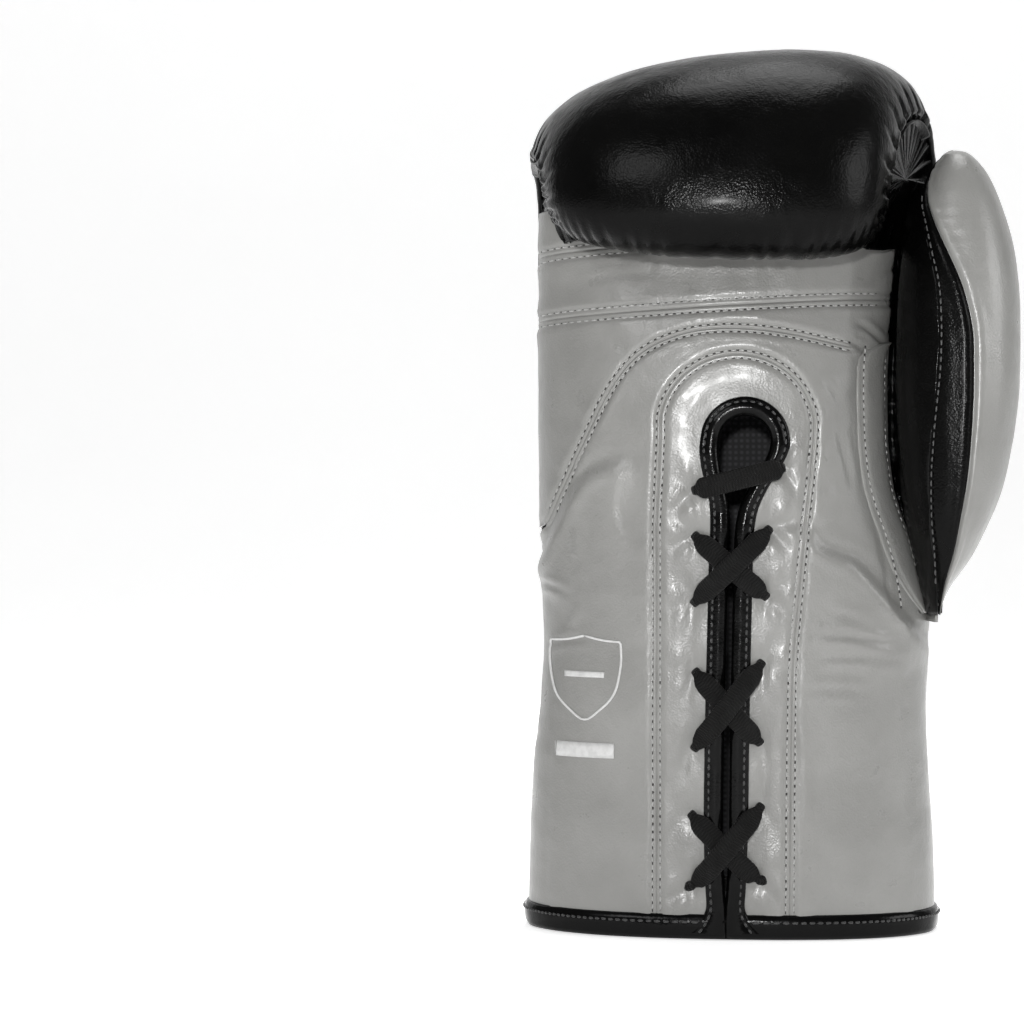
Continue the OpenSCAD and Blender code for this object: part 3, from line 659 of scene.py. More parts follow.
def woven(name, dark, light):
    """Plain woven cloth of crossing threads."""
    material, shader, n = new_material(name, light, 0.8, Sheen_Weight=0.25, Sheen_Roughness=0.5)
    waves = []
    for direction in ("X", "Z"):
        wave = n.add("ShaderNodeTexWave", bands_direction=direction)
        wave.inputs["Scale"].default_value = WEAVE_SCALE
        wave.inputs["Distortion"].default_value = 0.4
        n.link(n.place, wave.inputs["Vector"])
        waves.append(wave.outputs["Fac"])
    weave = n.math("MULTIPLY", waves[0], waves[1])
    n.tint(shader, weave, (0.05, dark), (0.8, light))
    n.bumps(shader, (weave, 0.00025, 0.6))
    return material


STRAND, RIB = 0.0011, 0.00125    # pitches of the braid's strands and ribs, in metres


def braid(name, dark, light):
    """A flat braid: slanted strands that meet in a row of chevrons, from the mesh's own weave coordinates."""
    material, shader, n = new_material(name, light, 0.62, Sheen_Weight=0.04, Sheen_Roughness=0.4,
                                       Specular_IOR_Level=0.15)
    weave = n.add("ShaderNodeAttribute", attribute_name="weave")
    split = n.add("ShaderNodeSeparateXYZ")
    n.link(weave.outputs["Vector"], split.inputs[0])
    slant = n.math("ADD", split.outputs["Y"], n.math("ABSOLUTE", split.outputs["X"], 0))
    strands = n.math("SINE", n.math("MULTIPLY", slant, 2 * math.pi / STRAND), 0)
    ribs = n.math("SINE", n.math("MULTIPLY", split.outputs["X"], 2 * math.pi / RIB), 0)
    pattern = n.range(n.math("MULTIPLY", strands, ribs), -1, 1, 0, 1)
    n.tint(shader, pattern, (0.2, dark), (0.8, light))
    n.gloss(shader, n.noise(300, 3), 0.5, 0.75)
    n.bumps(shader, (pattern, 0.00035, 0.8))
    return material


def moulded(name, colour, roughness=0.08):
    """Glossy moulded plastic with faint flow marks."""
    material, shader, n = new_material(name, colour, roughness, Coat_Weight=0.6, Coat_Roughness=0.05)
    n.gloss(shader, n.noise(70, 5), roughness, roughness + 0.12)
    n.tint(shader, n.noise(50, 2), (0.3, darker(colour, 0.8)), (0.7, colour))
    n.bumps(shader, (n.noise(220, 2), 0.0004, 0.25))
    return material


def thread(name, colour):
    material, shader, n = new_material(name, colour, 0.45, Sheen_Weight=0.3, Sheen_Roughness=0.4)
    n.tint(shader, n.noise(1800, 2), (0.35, darker(colour, 0.7)), (0.65, colour))
    n.bumps(shader, (n.noise(2500, 2), 0.0001, 0.5))
    return material


def ink(name, colour):
    """Printed ink that has worn a little into the grain."""
    material, shader, n = new_material(name, colour, 0.45)
    n.tint(shader, n.noise(420, 4), (0.36, darker(colour, 0.86)), (0.6, colour))
    n.bumps(shader, (n.cells(1300), 0.0001, 0.35))
    return material


GREY = leather("grey_leather", (0.178, 0.177, 0.169), (0.222, 0.221, 0.212), 0.27, 0.4, 0.12)
BLACK = leather("black_leather", (0.001, 0.001, 0.001), (0.0022, 0.0022, 0.0021), 0.18, 0.3, 0.04, 0.6, 0.07)
GLOSSY = leather("glossy_leather", (0.001, 0.001, 0.001), (0.002, 0.002, 0.002), 0.12, 0.22, 0.06, 0.35, 0.1)
FOAM = foam("foam", (0.72, 0.66, 0.5))
LINING = woven("lining", (0.006, 0.006, 0.007), (0.03, 0.03, 0.033))
STAY = foam("stay", (0.16, 0.16, 0.17))
LACE = braid("lace", (0.0006, 0.0006, 0.0006), (0.0065, 0.0063, 0.006))
LACE_TIP = moulded("lace_tip", (0.3, 0.3, 0.31), 0.25)
BADGE = moulded("badge", (0.004, 0.004, 0.004))
THREAD = thread("thread", (0.34, 0.34, 0.33))
DIM_THREAD = thread("dim_thread", (0.05, 0.05, 0.05))
BLACK_THREAD = thread("black_thread", (0.02, 0.02, 0.02))
# The needle holes' dark colour is painted shade: each hole is a dark lens on the leather, not an opening.
HOLE_SHADE = thread("needle_hole_shade", (0.012, 0.01, 0.008))
PRINT = ink("print", (0.52, 0.52, 0.515))


def piece(obj, nodes=()):
    """Hides the CAD nodes a piece of the glove stands for, and attaches the piece to the glove's body."""
    if nodes:
        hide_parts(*nodes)
    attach(obj, "glove")


def blended(obj, nodes=()):
    """Hides the CAD nodes a piece between the glove and the thumb stands for, and bakes its transform into
    its mesh.
    """
    if nodes:
        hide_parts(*nodes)
    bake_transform(obj)


# ---- Leather of the palm ----
def build_facing():
    inner = through(slit_edge(BINDING_W - 0.8), 200)
    outer = through(facing_edge(), 200)
    palm_panel("facing", inner, outer, 26, "lace_facing")


def seam_behind(z):
    """How far behind the widest point the side seam runs, as an angle."""
    return 0.5 + 10.5 * (1 - ramp(z, 108, 122))


def build_lower_panel():
    """From the facing's seam out to the side seams, the outer arch and the strip."""
    inner = through(facing_edge(), 320)
    left = [[180 - seam_behind(z), z] for z in (5, 15, 28, 45, 65, 85, 105, 118, 132, 144)]
    arch = [[angle_at(z, x), z] for x, z in OUTER_ARCH[np.linspace(0, 59, 9).astype(int)]]
    strip = [[angle_at(z, strip_x(z) - 1.5), z] for z in (212, 190, 165, 140, 117)]
    right = [[357, 122]] + [[360 + seam_behind(z), z] for z in (119, 100, 80, 60, 30, 5)]
    outer = through(left + arch + strip + right, 320, corners=(9, 18, 23, 24, 25))
    start = angle_at(inner[:, 1], inner[:, 0])
    t = crowded(54)
    z = inner[:, 1, None] + t * (outer[:, 1] - inner[:, 1])[:, None]
    a = start[:, None] + t * (outer[:, 0] - start)[:, None]
    p, n = body_frame(z, a)
    x = p[..., 0] + np.where(a < 180, -1, np.where(a > 360, 1, 0)) * 6
    side_d = np.minimum(np.abs(a - 180 + seam_behind(z)), np.abs(a - 360 - seam_behind(z))) * 1.2
    relief = palm_relief(x, z) + 0.8 * side_relief(side_d, z)
    obj = shell("palm_lower", p + n * relief[..., None], n, GREY)
    piece(obj, nodes=["palm_lower_panel"])


def side_relief(d, along):
    return seam_relief(d, np.asarray(along, float) + 0 * d, 50, 31) - 0.6 * bump(d, 1.0)


def build_upper_panels():
    n = 110
    low = through(np.vstack([[left_x(148), 148], OUTER_ARCH[::6], OUTER_ARCH[-1], [strip_x(214) - 3, 214.5],
                             [right_x(215), 215]]), n, corners=(1,))
    middle, high = across_palm(BAND_LOW, BAND_RISE, n), across_palm(BAND_HIGH, BAND_RISE, n)
    palm_panel("palm_upper", low, middle, 40, "palm_upper_panel")
    palm_panel("palm_band", middle, high, 26, "palm_band")
    palm_panel("palm_top", high, across_palm(TOP_END, 0, n), 20, "palm_top_panel")


def build_strip():
    """The strip that binds the web's edge, with a stitch row along each side. It tapers at both ends."""
    a, b = strip_edge(STRIP_W + 0.6, 90), strip_edge(-0.8, 90)
    taper = (np.clip((a[:, 1] - STRIP_HIGH + 9) / 9, 0, 1) ** 2.5
             + np.clip((STRIP_LOW + 26 - a[:, 1]) / 26, 0, 1) ** 2)
    a[:, 0] += (b[:, 0] - a[:, 0] - 1) * taper
    t = crowded(18)[None, :, None]
    xz = a[:, None, :] + t * (b - a)[:, None, :]
    p, n = palm_frame(xz[..., 0], xz[..., 1])
    u = np.broadcast_to(t[..., 0], p.shape[:2])
    h = 0.5 + 1.25 * (1 - np.abs(2 * u - 1) ** 4)
    for share in STRIP_ROWS:
        h = h - 0.5 * bump((u - share) * STRIP_W, 0.5)
    h += 0.25 * noise(xz, 9, 41, 2)
    piece(shell("thumb_strip", p + n * h[..., None], n, GREY), nodes=["thumb_seam_strip"])


# ---- Binding ----
# Across the binding: distance from the slit's edge, and height over the leather, which dips at the stitches.
BINDING_ROW = 4.8
BINDING_PROFILE = [[1.2, -3.4], [0.2, -2.6], [-0.3, -1.2], [-0.2, 0.3], [0.5, 1.5], [1.7, 2.2], [3.1, 2.3],
                   [4.3, 1.9], [BINDING_ROW, 1.45], [5.3, 1.6], [6.1, 1.35], [6.6, 0.5], [6.4, -0.6],
                   [4, -1.2], [2, -1.6]]


def build_slit_binding():
    rows = []
    for w, h in BINDING_PROFILE:
        xz = through(slit_edge(w), 330)
        p, out = palm_frame(xz[:, 0], xz[:, 1])
        sag = 0.25 * noise(xz, 7, 51, 2) if h > 0 else 0
        rows.append(p + out * np.reshape(h + sag, (-1, 1)))
    piece(tube("slit_binding", np.stack(rows, axis=1), GLOSSY), nodes=["slit_binding"])


# Across the hem's binding: distance out from the cuff's surface, and height.
HEM_PROFILE = [[1.5, 4.5], [1.7, 7], [1.1, 8.6], [0.2, 9.3], [-1.2, 9], [-3, 8.2], [-9, 8.4], [-10.2, 7],
               [-10.5, 4.5], [-10.2, 1.8], [-9, 0.5], [-6, 0.05], [-2, 0.05], [0.4, 0.5], [1.2, 2]]


def build_hem():
    """A rolled binding round the hem. Its two ends meet at the slit."""
    start = float(angle_at(0, slit_x(0)))
    angles = np.linspace(start, start + 360, 420)
    rings = []
    for out, z in HEM_PROFILE:
        p, _ = body_frame(np.full(angles.shape, 3.0), angles)
        centre = np.array([BODY_X, DEPTH_Y, 0])
        way = unit((p - centre) * [1, 2.2, 0])
        wave = 0.25 * noise(np.stack([angles, np.full(angles.shape, z)], axis=-1), 9, 61, 2)
        q = p + way * (out + (wave if out > 0 else 0 * wave))[..., None]
        q[:, 2] = z
        rings.append(q)
    piece(tube("hem_binding", np.stack(rings, axis=1), GLOSSY), nodes=["hem_binding"])


# ---- Leather of the back ----
def fold_lines(t, seed):
    """Uneven sharp folds from 0 to 1, one for each whole step of t."""
    shift = 0.35 * noise(np.stack([t * 2.5, np.full(t.shape, seed * 3.0)], axis=-1), 4, seed, 1)
    return 1 - np.abs(np.sin(np.pi * (t + shift)))


def back_relief(s, a, p):
    """Soft dents, the gathered tip of the curl and the pleats at its sides."""
    tilt = s - CURL_Z
    side = np.minimum(a, 180 - a)
    h = 0.55 * noise(p, 34, 71, 3) + 0.12 * noise(p, 7, 72, 2)
    gather = ramp(tilt, 184, 206)
    h -= 1.5 * gather * fold_lines(a / 7.5, 5) ** 2 * (0.6 + 0.4 * noise(p, 14, 73, 1))
    pleat = ramp(tilt, 40, 85) * ramp(28 - side, 0, 24)
    h -= 2.0 * pleat * fold_lines(tilt / 15, 7) ** 3
    h -= 1.0 * ramp(tilt, 150, 180) * ramp(30 - side, 0, 24) * fold_lines(tilt / 8 + 0.3, 8) ** 2
    edge = np.minimum(side * 1.3, 60)
    h += -0.8 * bump(edge - 2.5, 1.2) + 0.6 * bump(edge - 6, 3) * (1 + noise(p, 9, 74, 2))
    h += 0.5 * ramp(tilt, -150, -158) * bump(s - 112, 4)
    return h


def back_edge(s):
    return np.where(s < 122, seam_behind(s) + 1.2, 2)


def build_back():
    s = np.concatenate([np.linspace(107, CURL_Z, 90), CURL_Z + np.linspace(1.6, 180, 112),
                        CURL_Z + np.linspace(180.8, CURL_END, 46)])
    edge = back_edge(s)
    t = crowded(120) * 0.45 + np.linspace(0, 1, 120) * 0.55
    a = edge[:, None] + t[None, :] * (180 - 2 * edge)[:, None]
    ss = np.broadcast_to(s[:, None], a.shape)
    p, n = body_frame(ss, a)
    h = back_relief(ss, a, p)
    low = bump(ss - 107, 3)
    obj = shell("back_panel", p + n * (h - 0.8 * low)[..., None], n, BLACK)
    piece(obj, nodes=["back_panel"])


def build_under_panel():
    """The curl's leather on the side towards the palm."""
    s = CURL_Z + np.concatenate([np.linspace(60, 195, 60), np.linspace(197, CURL_END, 20)])
    a = np.linspace(180.5, 359.5, 80)[None, :] + 0 * s[:, None]
    ss = np.broadcast_to(s[:, None], a.shape)
    p, n = body_frame(ss, a)
    h = 0.4 * noise(p, 16, 81, 2) - 1.0 * ramp(ss - CURL_Z, 190, 208) * fold_lines(a / 7.5, 5) ** 2
    piece(shell("curl_under", p + n * h[..., None], n, BLACK), nodes=["fist_under_panel"])


def build_gussets():
    """Pleated leather closes the two ends of the curl, from the edge of the back panel inwards."""
    shares = np.array([1.03, 1, 0.96, 0.9, 0.82, 0.72, 0.6, 0.45, 0.25, 0.03])[:, None, None]
    for name, edge, side, deep in (("gusset_left", 177.2, -1, 9), ("gusset_right", 2.8, 1, 17)):
        rim, _ = body_frame(CURL_Z + np.linspace(-3, 212, 120), np.full(120, float(edge)))
        t = np.linspace(0, 1, 42)[1:-1, None]
        floor = rim[-1] + t * (rim[0] - rim[-1]) - np.array([0, 0, 5]) * np.sin(np.pi * t)
        rim = np.concatenate([rim, floor]) - [side * 0.8, 0, 0]
        middle = np.array([rim[:, 0].mean(), rim[:120, 1].mean(), CURL_Z + 6])
        p = middle + shares * (rim[None] - middle)
        along = np.arange(len(rim))[None, :] / 7.0 + 0 * shares[..., 0]
        folds = fold_lines(along, 9) ** 2 * ramp(shares[..., 0], 0.3, 0.85)
        p[..., 0] -= side * (deep * ramp(1 - shares[..., 0], 0, 0.42) + 1.6 * folds)
        inner = p - [side * LEATHER, 0, 0]
        obj = tube(name, np.concatenate([p, inner[::-1]]), BLACK)
        piece(obj, nodes=["curl_gussets"])


def cuff_sheet(name, low, high, rows, lift, material, seed, nodes, dip=0.0):
    """A panel over the back of the cuff between two heights."""
    z = low + (high - low) * crowded(rows)[:, None]
    t = crowded(110)[None, :]
    edge = 11.6
    a = edge + t * (180 - 2 * edge) + 0 * z
    z = z + 0 * a
    p, n = body_frame(z, a)
    d = np.minimum(z - low, high - z)
    h = lift + 0.4 * noise(p, 24, seed, 3) - 0.7 * bump(d, 1.1) + 0.4 * bump(d - 3.4, 2)
    h -= dip * bump((z - (low + high) / 2) / (high - low) * 2, 0.7)
    side = np.minimum(a - edge, 180 - edge - a) * 1.2
    h += -0.7 * bump(side, 1.2) + 0.4 * bump(side - 3.5, 2) * (1 + noise(p, 8, seed + 1, 1))
    h -= 0.7 * fold_lines(z / 17 + a / 60, seed) ** 3 * ramp(22 - side, 0, 20)
    piece(shell(name, p + n * h[..., None], n, material), nodes=nodes)


def build_cuff_back():
    cuff_sheet("crease_band", 72, 106, 40, 0.2, GLOSSY, 91, ["wrist_crease_band"], 1.2)
    cuff_sheet("wrist_panel", 5, 72, 60, 0.0, BLACK, 95, ["wrist_panel"])
    welt(105.5, 1.7, "wrist_welt")


def welt(z, r, name):
    """A rolled welt over the back of the wrist."""
    a = np.linspace(12, 168, 150)
    p, n = body_frame(np.full(a.shape, float(z)), a)
    wave = 0.4 * noise(p, 11, 97, 2)
    turn = full_turn(12)
    up = np.array([0, 0, 1.0])
    rings = (p + n * (0.6 + wave)[:, None])[:, None, :] + r * (
        np.cos(turn)[None, :, None] * n[:, None, :] + 1.2 * np.sin(turn)[None, :, None] * up)
    piece(tube(name, rings, GLOSSY))


def back_xz(x, z):
    """A place on the back of the glove at an x and a height."""
    x, z = np.broadcast_arrays(np.asarray(x, float), np.asarray(z, float))
    row = spine_at(z)
    d = x - BODY_X
    share = np.clip(np.abs(d) / np.where(d < 0, row[..., 1], row[..., 2]), 0, 0.99)
    a = 90 - np.sign(d) * np.degrees(np.arcsin(share ** (1 / EDGE_POWER)))
    return *body_frame(z, a), a


BADGE_W, BADGE_H, BADGE_R = 66, 48, 5
BADGE_X, BADGE_Z = BODY_X - 3, 42


def build_badge():
    """A moulded patch with a raised rim, a sewn inner line, and a plain star over a bar."""
    u, w = square(133, 97)
    x, z = u * BADGE_W / 2, w * BADGE_H / 2
    d = rounded_box(x, z, BADGE_W / 2, BADGE_H / 2, BADGE_R)
    pull = np.clip(d, 0, None)
    x, z = x - np.sign(x) * pull * 0.7, z - np.sign(z) * pull * 0.7
    inside = -rounded_box(x, z, BADGE_W / 2, BADGE_H / 2, BADGE_R)
    h = 1.0 + 1.3 * bump(inside - 1.6, 1.1) - 0.45 * bump(inside - 4.4, 0.7) + 0.4 * ramp(inside, 5, 9)
    h += 1.0 * star_shape(x, z - 7, 10.5, 0.9) + 0.8 * ramp(-rounded_box(x, z + 13, 21, 3.4, 1.2), -0.5, 0.5)
    h -= 1.2 * ramp(0.6 - inside, 0, 0.8)
    p, n, _ = back_xz(BADGE_X + x, BADGE_Z + z)
    piece(shell("badge", p + n * h[..., None], n, BADGE, 1.2), nodes=["wrist_badge"])
    build_badge_mark()


def rounded_box(x, z, half_w, half_h, r):
    """The distance outside a rounded rectangle, negative inside it."""
    qx, qz = np.abs(x) - half_w + r, np.abs(z) - half_h + r
    return np.hypot(np.maximum(qx, 0), np.maximum(qz, 0)) + np.minimum(np.maximum(qx, qz), 0) - r


def star_radius(turn, r):
    """The edge of a five-pointed star at each turn from its upper point."""
    step = 2 * math.pi / 5
    t = np.abs((turn + step / 2) % step - step / 2)
    inner = 0.42
    return r * inner * math.sin(step / 2) / (np.sin(step / 2 - t) * inner + np.sin(t))


def star_shape(x, z, r, soft):
    turn = np.arctan2(x, z)
    return ramp(star_radius(turn, r) - np.hypot(x, z), -soft / 2, soft / 2)


def build_badge_mark():
    """The star and the bar are inlaid in white."""
    turn = full_turn(100)
    r = star_radius(turn, 9.4)
    shares = np.linspace(0.02, 1, 12)[:, None]
    x, z = shares * r * np.sin(turn), shares * r * np.cos(turn)
    p, n, _ = back_xz(BADGE_X + x, BADGE_Z + 7 + z)
    p = p + n * 2.75
    rings = np.concatenate([p[::-1] - n[::-1] * 0.3, p])
    piece(tube("badge_star", rings, PRINT))
    u, w = square(40, 5)
    p, n, _ = back_xz(BADGE_X + u * 19.5 + w * 1.2, BADGE_Z - 13 + w * 2.2)
    piece(shell("badge_bar", p + n * 2.5, n, PRINT, 0.4))


def build_back_stripes():
    """Two plain slanted stripes are printed over the knuckles' side."""
    for name, z0, x0, x1 in (("stripe_upper", 189, -58, 58), ("stripe_lower", 179, -58, 30)):
        u, w = square(90, 8, 0)
        x = BODY_X + 3 + x0 + (x1 - x0) * u + w * 2.4
        z = z0 + w * 3.2
        p, n, a = back_xz(x, z)
        h = back_relief(z, a, p) + 0.1
        piece(shell(name, p + n * h[..., None], n, PRINT, 0.2))


# ---- Thumb ----
thumb_rows = smooth_table([[k, *row] for k, row in enumerate(THUMB)])
LAST = len(THUMB) - 1


def thumb_point(i, angle, inset=0.0):
    """Angle 0 is the outer side, 90 the back, 180 the fist's side, 270 the palm side."""
    i, angle = np.broadcast_arrays(np.asarray(i, float), np.asarray(angle, float))

    def line(k):
        row = thumb_rows(k)
        return np.stack([THUMB_EDGE - (row[..., 1] + row[..., 2]) / 2, row[..., 0]], axis=-1)
    row = thumb_rows(i)
    along = unit(line(np.minimum(i + 0.5, LAST)) - line(np.maximum(i - 0.5, 0)))
    half = np.maximum((row[..., 1] - row[..., 2]) / 2 - inset, 0.3)
    deep = np.maximum(row[..., 3] * THUMB_HALF_D - inset, 0.3)
    a = np.radians(angle)
    u, v = half * np.cos(a), deep * np.sin(a)
    mid = line(i)
    return np.stack([mid[..., 0] + along[..., 1] * u, THUMB_Y + v, mid[..., 1] - along[..., 0] * u], axis=-1)


def thumb_frame(i, angle):
    i, angle = np.broadcast_arrays(np.asarray(i, float), np.asarray(angle, float))
    round_it = thumb_point(i, angle + 1) - thumb_point(i, angle - 1)
    up_it = thumb_point(np.minimum(i + 0.05, LAST), angle) - thumb_point(np.maximum(i - 0.05, 0), angle)
    return thumb_point(i, angle), unit(np.cross(round_it, up_it))


def thumb_row_at(z):
    """The place in THUMB at a height."""
    return np.interp(z, [row[0] for row in THUMB], np.arange(len(THUMB)))


# Angles of the thumb's seams by height: where grey meets black, and where the web meets the thumb.
seam_b = smooth_table([[117, 281], [214, 281], [232, 272], [246, 256], [258, 236], [268, 214], [277, 196],
                       [286, 185]])
seam_c = smooth_table([[117, 235], [163, 237], [182, 241], [208, 247], [232, 245], [246, 236], [258, 222],
                       [268, 204], [277, 188], [286, 178]])
THUMB_ROWS = thumb_row_at(np.concatenate([np.linspace(117, 276, 112), np.linspace(277, 285.6, 18)]))


def thumb_relief(p, d, z, grey):
    """Creases, and fine puckers that run out from the seam at distance d near the thumb's tip."""
    h = 0.4 * noise(p, 22, 101, 3) - 0.9 * bump(d, 1.1) + 0.5 * bump(d - 3.2, 2.2)
    fold = fold_lines(z / 3.4, 12) ** 2
    h -= (0.55 if grey else 0.3) * fold * ramp(z, 205, 250) * ramp(24 - d, 0, 20) * ramp(d, 0, 3)
    return h


def build_thumb():
    i = THUMB_ROWS[:, None]
    z = thumb_rows(THUMB_ROWS)[:, 0][:, None]
    seam = seam_b(z[:, 0])
    for name, low, high, cols, material, slot, node in (
            ("thumb_outer", seam - 360, 141, 100, GREY, "grey_leather", "thumb_outer_panel"),
            ("thumb_inner", 138, seam, 60, BLACK, "black_leather", "thumb_inner_panel")):
        low, high = low + 0 * seam, high + 0 * seam
        a = low + (high - low) * crowded(cols)[None, :] + 0 * i
        p, n = thumb_frame(i + 0 * a, a)
        d = np.abs(a - (low if material is GREY else high)) * 0.4
        h = thumb_relief(p, d, z + 0 * a, material is GREY)
        obj = shell(name, p + n * h[..., None], n, material)
        blended(obj, [node])


def web_grid(rows, cols):
    """A sheet from the strip, down into the valley and up onto the thumb."""
    t = np.linspace(0, 1, rows)
    za = 117 + t * (264 - 117)
    zc = 117 + t * (272 - 117)
    above = strip_x(za) + (right_x(za) - strip_x(za)) * ramp(za, 214, 222)
    a, _ = palm_frame(np.where(za < STRIP_HIGH, strip_x(za), above) - 0.6, za)
    c, cn = thumb_frame(thumb_row_at(zc), seam_c(zc)[:, 0])
    c = c + cn * 0.2
    k = np.linalg.norm(c - a, axis=1) / 19
    b1 = a + np.stack([4.5 * k, 12 * k, 0 * k], axis=1)
    b2 = c + np.stack([-10 * k, 18 * k, 0 * k], axis=1)
    u = np.linspace(0, 1, cols)[None, :, None]
    p = ((1 - u)**3 * a[:, None] + 3 * u * (1 - u)**2 * b1[:, None] + 3 * u**2 * (1 - u) * b2[:, None]
         + u**3 * c[:, None])
    return p, sheet_normals(p)


def build_web():
    p, n = web_grid(110, 46)
    u = np.linspace(0, 1, 46)[None, :]
    z = p[..., 2]
    folds = fold_lines(z / 8 + u, 13) ** 3 * ramp(u, 0.1, 0.4) * ramp(1 - u, 0, 0.3)
    h = 0.5 * noise(p, 12, 111, 3) - 0.6 * folds
    h -= 0.9 * fold_lines(z / 5.5 + 2 * u, 14) ** 2 * ramp(z, 232, 258)
    obj = shell("thumb_web", p + n * h[..., None], n, GLOSSY, 1.2)
    blended(obj, ["thumb_web"])


def build_thumb_side():
    """The grey leather goes on from the thumb's back to the seam at the edge of the back panel."""
    z = np.linspace(114, 270, 90)
    a, _ = thumb_frame(thumb_row_at(z), np.full(z.shape, 112.0))
    b, bn = body_frame(np.minimum(z, CURL_Z), 2.2 + 0 * z)
    b = b - bn * 1.2
    a[:, 2], b[:, 2] = z, z
    u = crowded(26)[None, :, None]
    sag = np.sin(np.pi * u) * 2.2 * np.clip((b - a)[:, None, :1] / -20, 0, 1)
    p = a[:, None] * (1 - u) + b[:, None] * u - np.array([0, 1.0, 0]) * sag
    n = sheet_normals(p)
    n = n * np.sign((n * [0.3, 1, 0]).sum(axis=-1, keepdims=True))
    h = 0.5 * noise(p, 12, 121, 2)
    obj = shell("thumb_side", p + n * h[..., None], n, GREY, 1.2)
    blended(obj)


def build_keeper():
    """A short strap that ties the thumb's tip to the fist."""
    u, w = square(22, 16)
    lo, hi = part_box("thumb_keeper")
    mid = (np.array(lo) + np.array(hi)) / 2 / MM
    x = mid[0] + 1.6 * np.sin(u * 1.5) + 0.6 * bump(u, 0.5)
    p = np.stack([x + 0.41 * 6.5 * u, mid[1] + w * (6 - 0.8 * np.abs(u) ** 3), mid[2] + u * 6.5], axis=-1)
    n = np.broadcast_to(np.array([0.91, 0, -0.41]), p.shape)
    piece(shell("thumb_keeper_strap", p, n, GLOSSY, 1.5), nodes=["thumb_keeper"])


# ---- Linings ----
def lining_point(z, a, extra=0.0):
    """The lining's surface: nearer the outside beside the slit, where there is no pad."""
    side = np.minimum(np.abs(a - 270), 180)
    inset = LINING_NEAR + (LINING_IN - LINING_NEAR) * np.clip((side - 15.5) / 5, 0, 1) + extra
    row = spine_at(np.minimum(z, CURL_Z))
    back = a <= 180
    inset = np.where(back, LINING_IN + extra, inset)
    narrowing = np.maximum(0, row[..., 4] - LINING_IN - 1.4) * np.maximum(0, 1 - (z - 100) / 22)
    room = np.where(z < 100, row[..., 4] - inset, 1.4 + narrowing - extra)
    t = np.radians(a)
    c, n = np.cos(t), np.sin(t)
    half = np.where(c < 0, row[..., 1], np.where(back, row[..., 2], row[..., 3])) - inset
    depth = np.where(back, np.minimum(room, row[..., 4] - inset), row[..., 5] - inset)
    return np.stack([BODY_X + np.sign(c) * half * np.abs(c) ** EDGE_POWER,
                     DEPTH_Y + row[..., 0] + np.sign(n) * depth * np.abs(n) ** EDGE_POWER, z], axis=-1)


def build_cuff_lining():
    z = np.linspace(4, 193, 90)
    clear = np.where(z < NECK_Z, 4.2, np.minimum(13, 4.2 + (z - NECK_Z) * 0.4))
    start = angle_at(z, slit_x(z) + clear)
    end = angle_at(z, slit_x(z) - clear) + 360
    t = np.linspace(0, 1, 130)
    a = start[:, None] + t * (end - start)[:, None]
    zz = z[:, None] + 0 * a
    p = lining_point(zz, a % 360)
    n = sheet_normals(p)
    h = 0.35 * noise(p, 18, 131, 3) - 0.5
    piece(shell("cuff_lining_cloth", p + n * h[..., None], n, LINING, CLOTH), nodes=["cuff_lining"])


def build_hand_lining():
    rows = smooth_table([[0, 190, 0, 0], [1, 210, 0, 0], [2, 226, 0, 0], [3, 243, 0, 0], [4, 256, 1, 0.5],
                         [5, 265, 5, 2], [6, 272, 12, 6], [7, 274, 30, 8]])(np.linspace(0, 7, 50))
    a = np.linspace(0, 360, 97)[:-1]
    rings = []
    for z, draw, forward in rows:
        p = lining_point(np.full(a.shape, z), a, draw + 0.4)
        p[:, 1] -= forward
        p += unit(p - p.mean(axis=0)) * 0.3 * noise(p, 16, 141, 2)[:, None]
        rings.append(p)
    piece(tube("hand_lining_cloth", np.stack(rings), LINING, False), nodes=["hand_lining"])


# ---- Lace ----
# Heights over the leather: beside a hole, where the lower and the upper strand cross, inside, and in a hole.
OVER, RIDE, TOP_RIDE, UNDER = 2.2, 4.6, 6.9, -7.2
IN_HOLE = -2.5
# The tucked ends: distance from the slit's middle, height, and height over the leather.
TAIL = [[15, 24, -13.5], [17, 60, -13.5], [17, 112, -13.5], [19.5, 118, -13.5], [22, 112, -13.5],
        [22, 60, -13.5], [22, 34, -13.5], [24.5, 28, -13.5], [27, 34, -13.8], [27, 60, -14], [27, 108, -14.2]]


def rise(low, high, side, mid):
    """Over the slit, from a hole in the low row to the hole across it in the high row."""
    a, b = hole(low, -side), hole(high, side)
    shares = [[0, IN_HOLE], [0.06, OVER * 0.6], [0.16, OVER + 0.7], [0.3, mid - 0.7], [0.5, mid],
              [0.7, mid - 0.7], [0.84, OVER + 0.7], [0.94, OVER * 0.6], [1, IN_HOLE]]
    return [[*(a + t * (b - a)), h] for t, h in shares]


def drop(high, low, side):
    a, b = hole(high, side), hole(low, side)
    return [[*a, UNDER], [*(a * 0.5 + b * 0.5), UNDER - 0.4], [*b, UNDER]]


def strand(side):
    """Half of the lace, from its highest hole on one side down to its tucked end."""
    m, n = (RIDE, TOP_RIDE) if side > 0 else (TOP_RIDE, RIDE)
    tail = [[hole(0, side)[0], 19, UNDER - 0.5]] + [[slit_x(0) - side * x, z, h] for x, z, h in TAIL]
    return ([[*hole(6, side), IN_HOLE]] + drop(6, 5, side) + rise(4, 5, side, n)[::-1] + drop(4, 3, -side)
            + rise(2, 3, -side, m)[::-1] + drop(2, 1, side) + rise(0, 1, side, n)[::-1] + tail)


def top_bar():
    """The run straight across, under the keyhole."""
    a, b = hole(6, -1), hole(6, 1)
    shares = ((0.06, 2.0), (0.2, 4.4), (0.35, 5.4), (0.5, 5.7), (0.65, 5.4), (0.8, 4.4), (0.94, 2.0))
    return [[*(a + t * (b - a)), h] for t, h in shares]


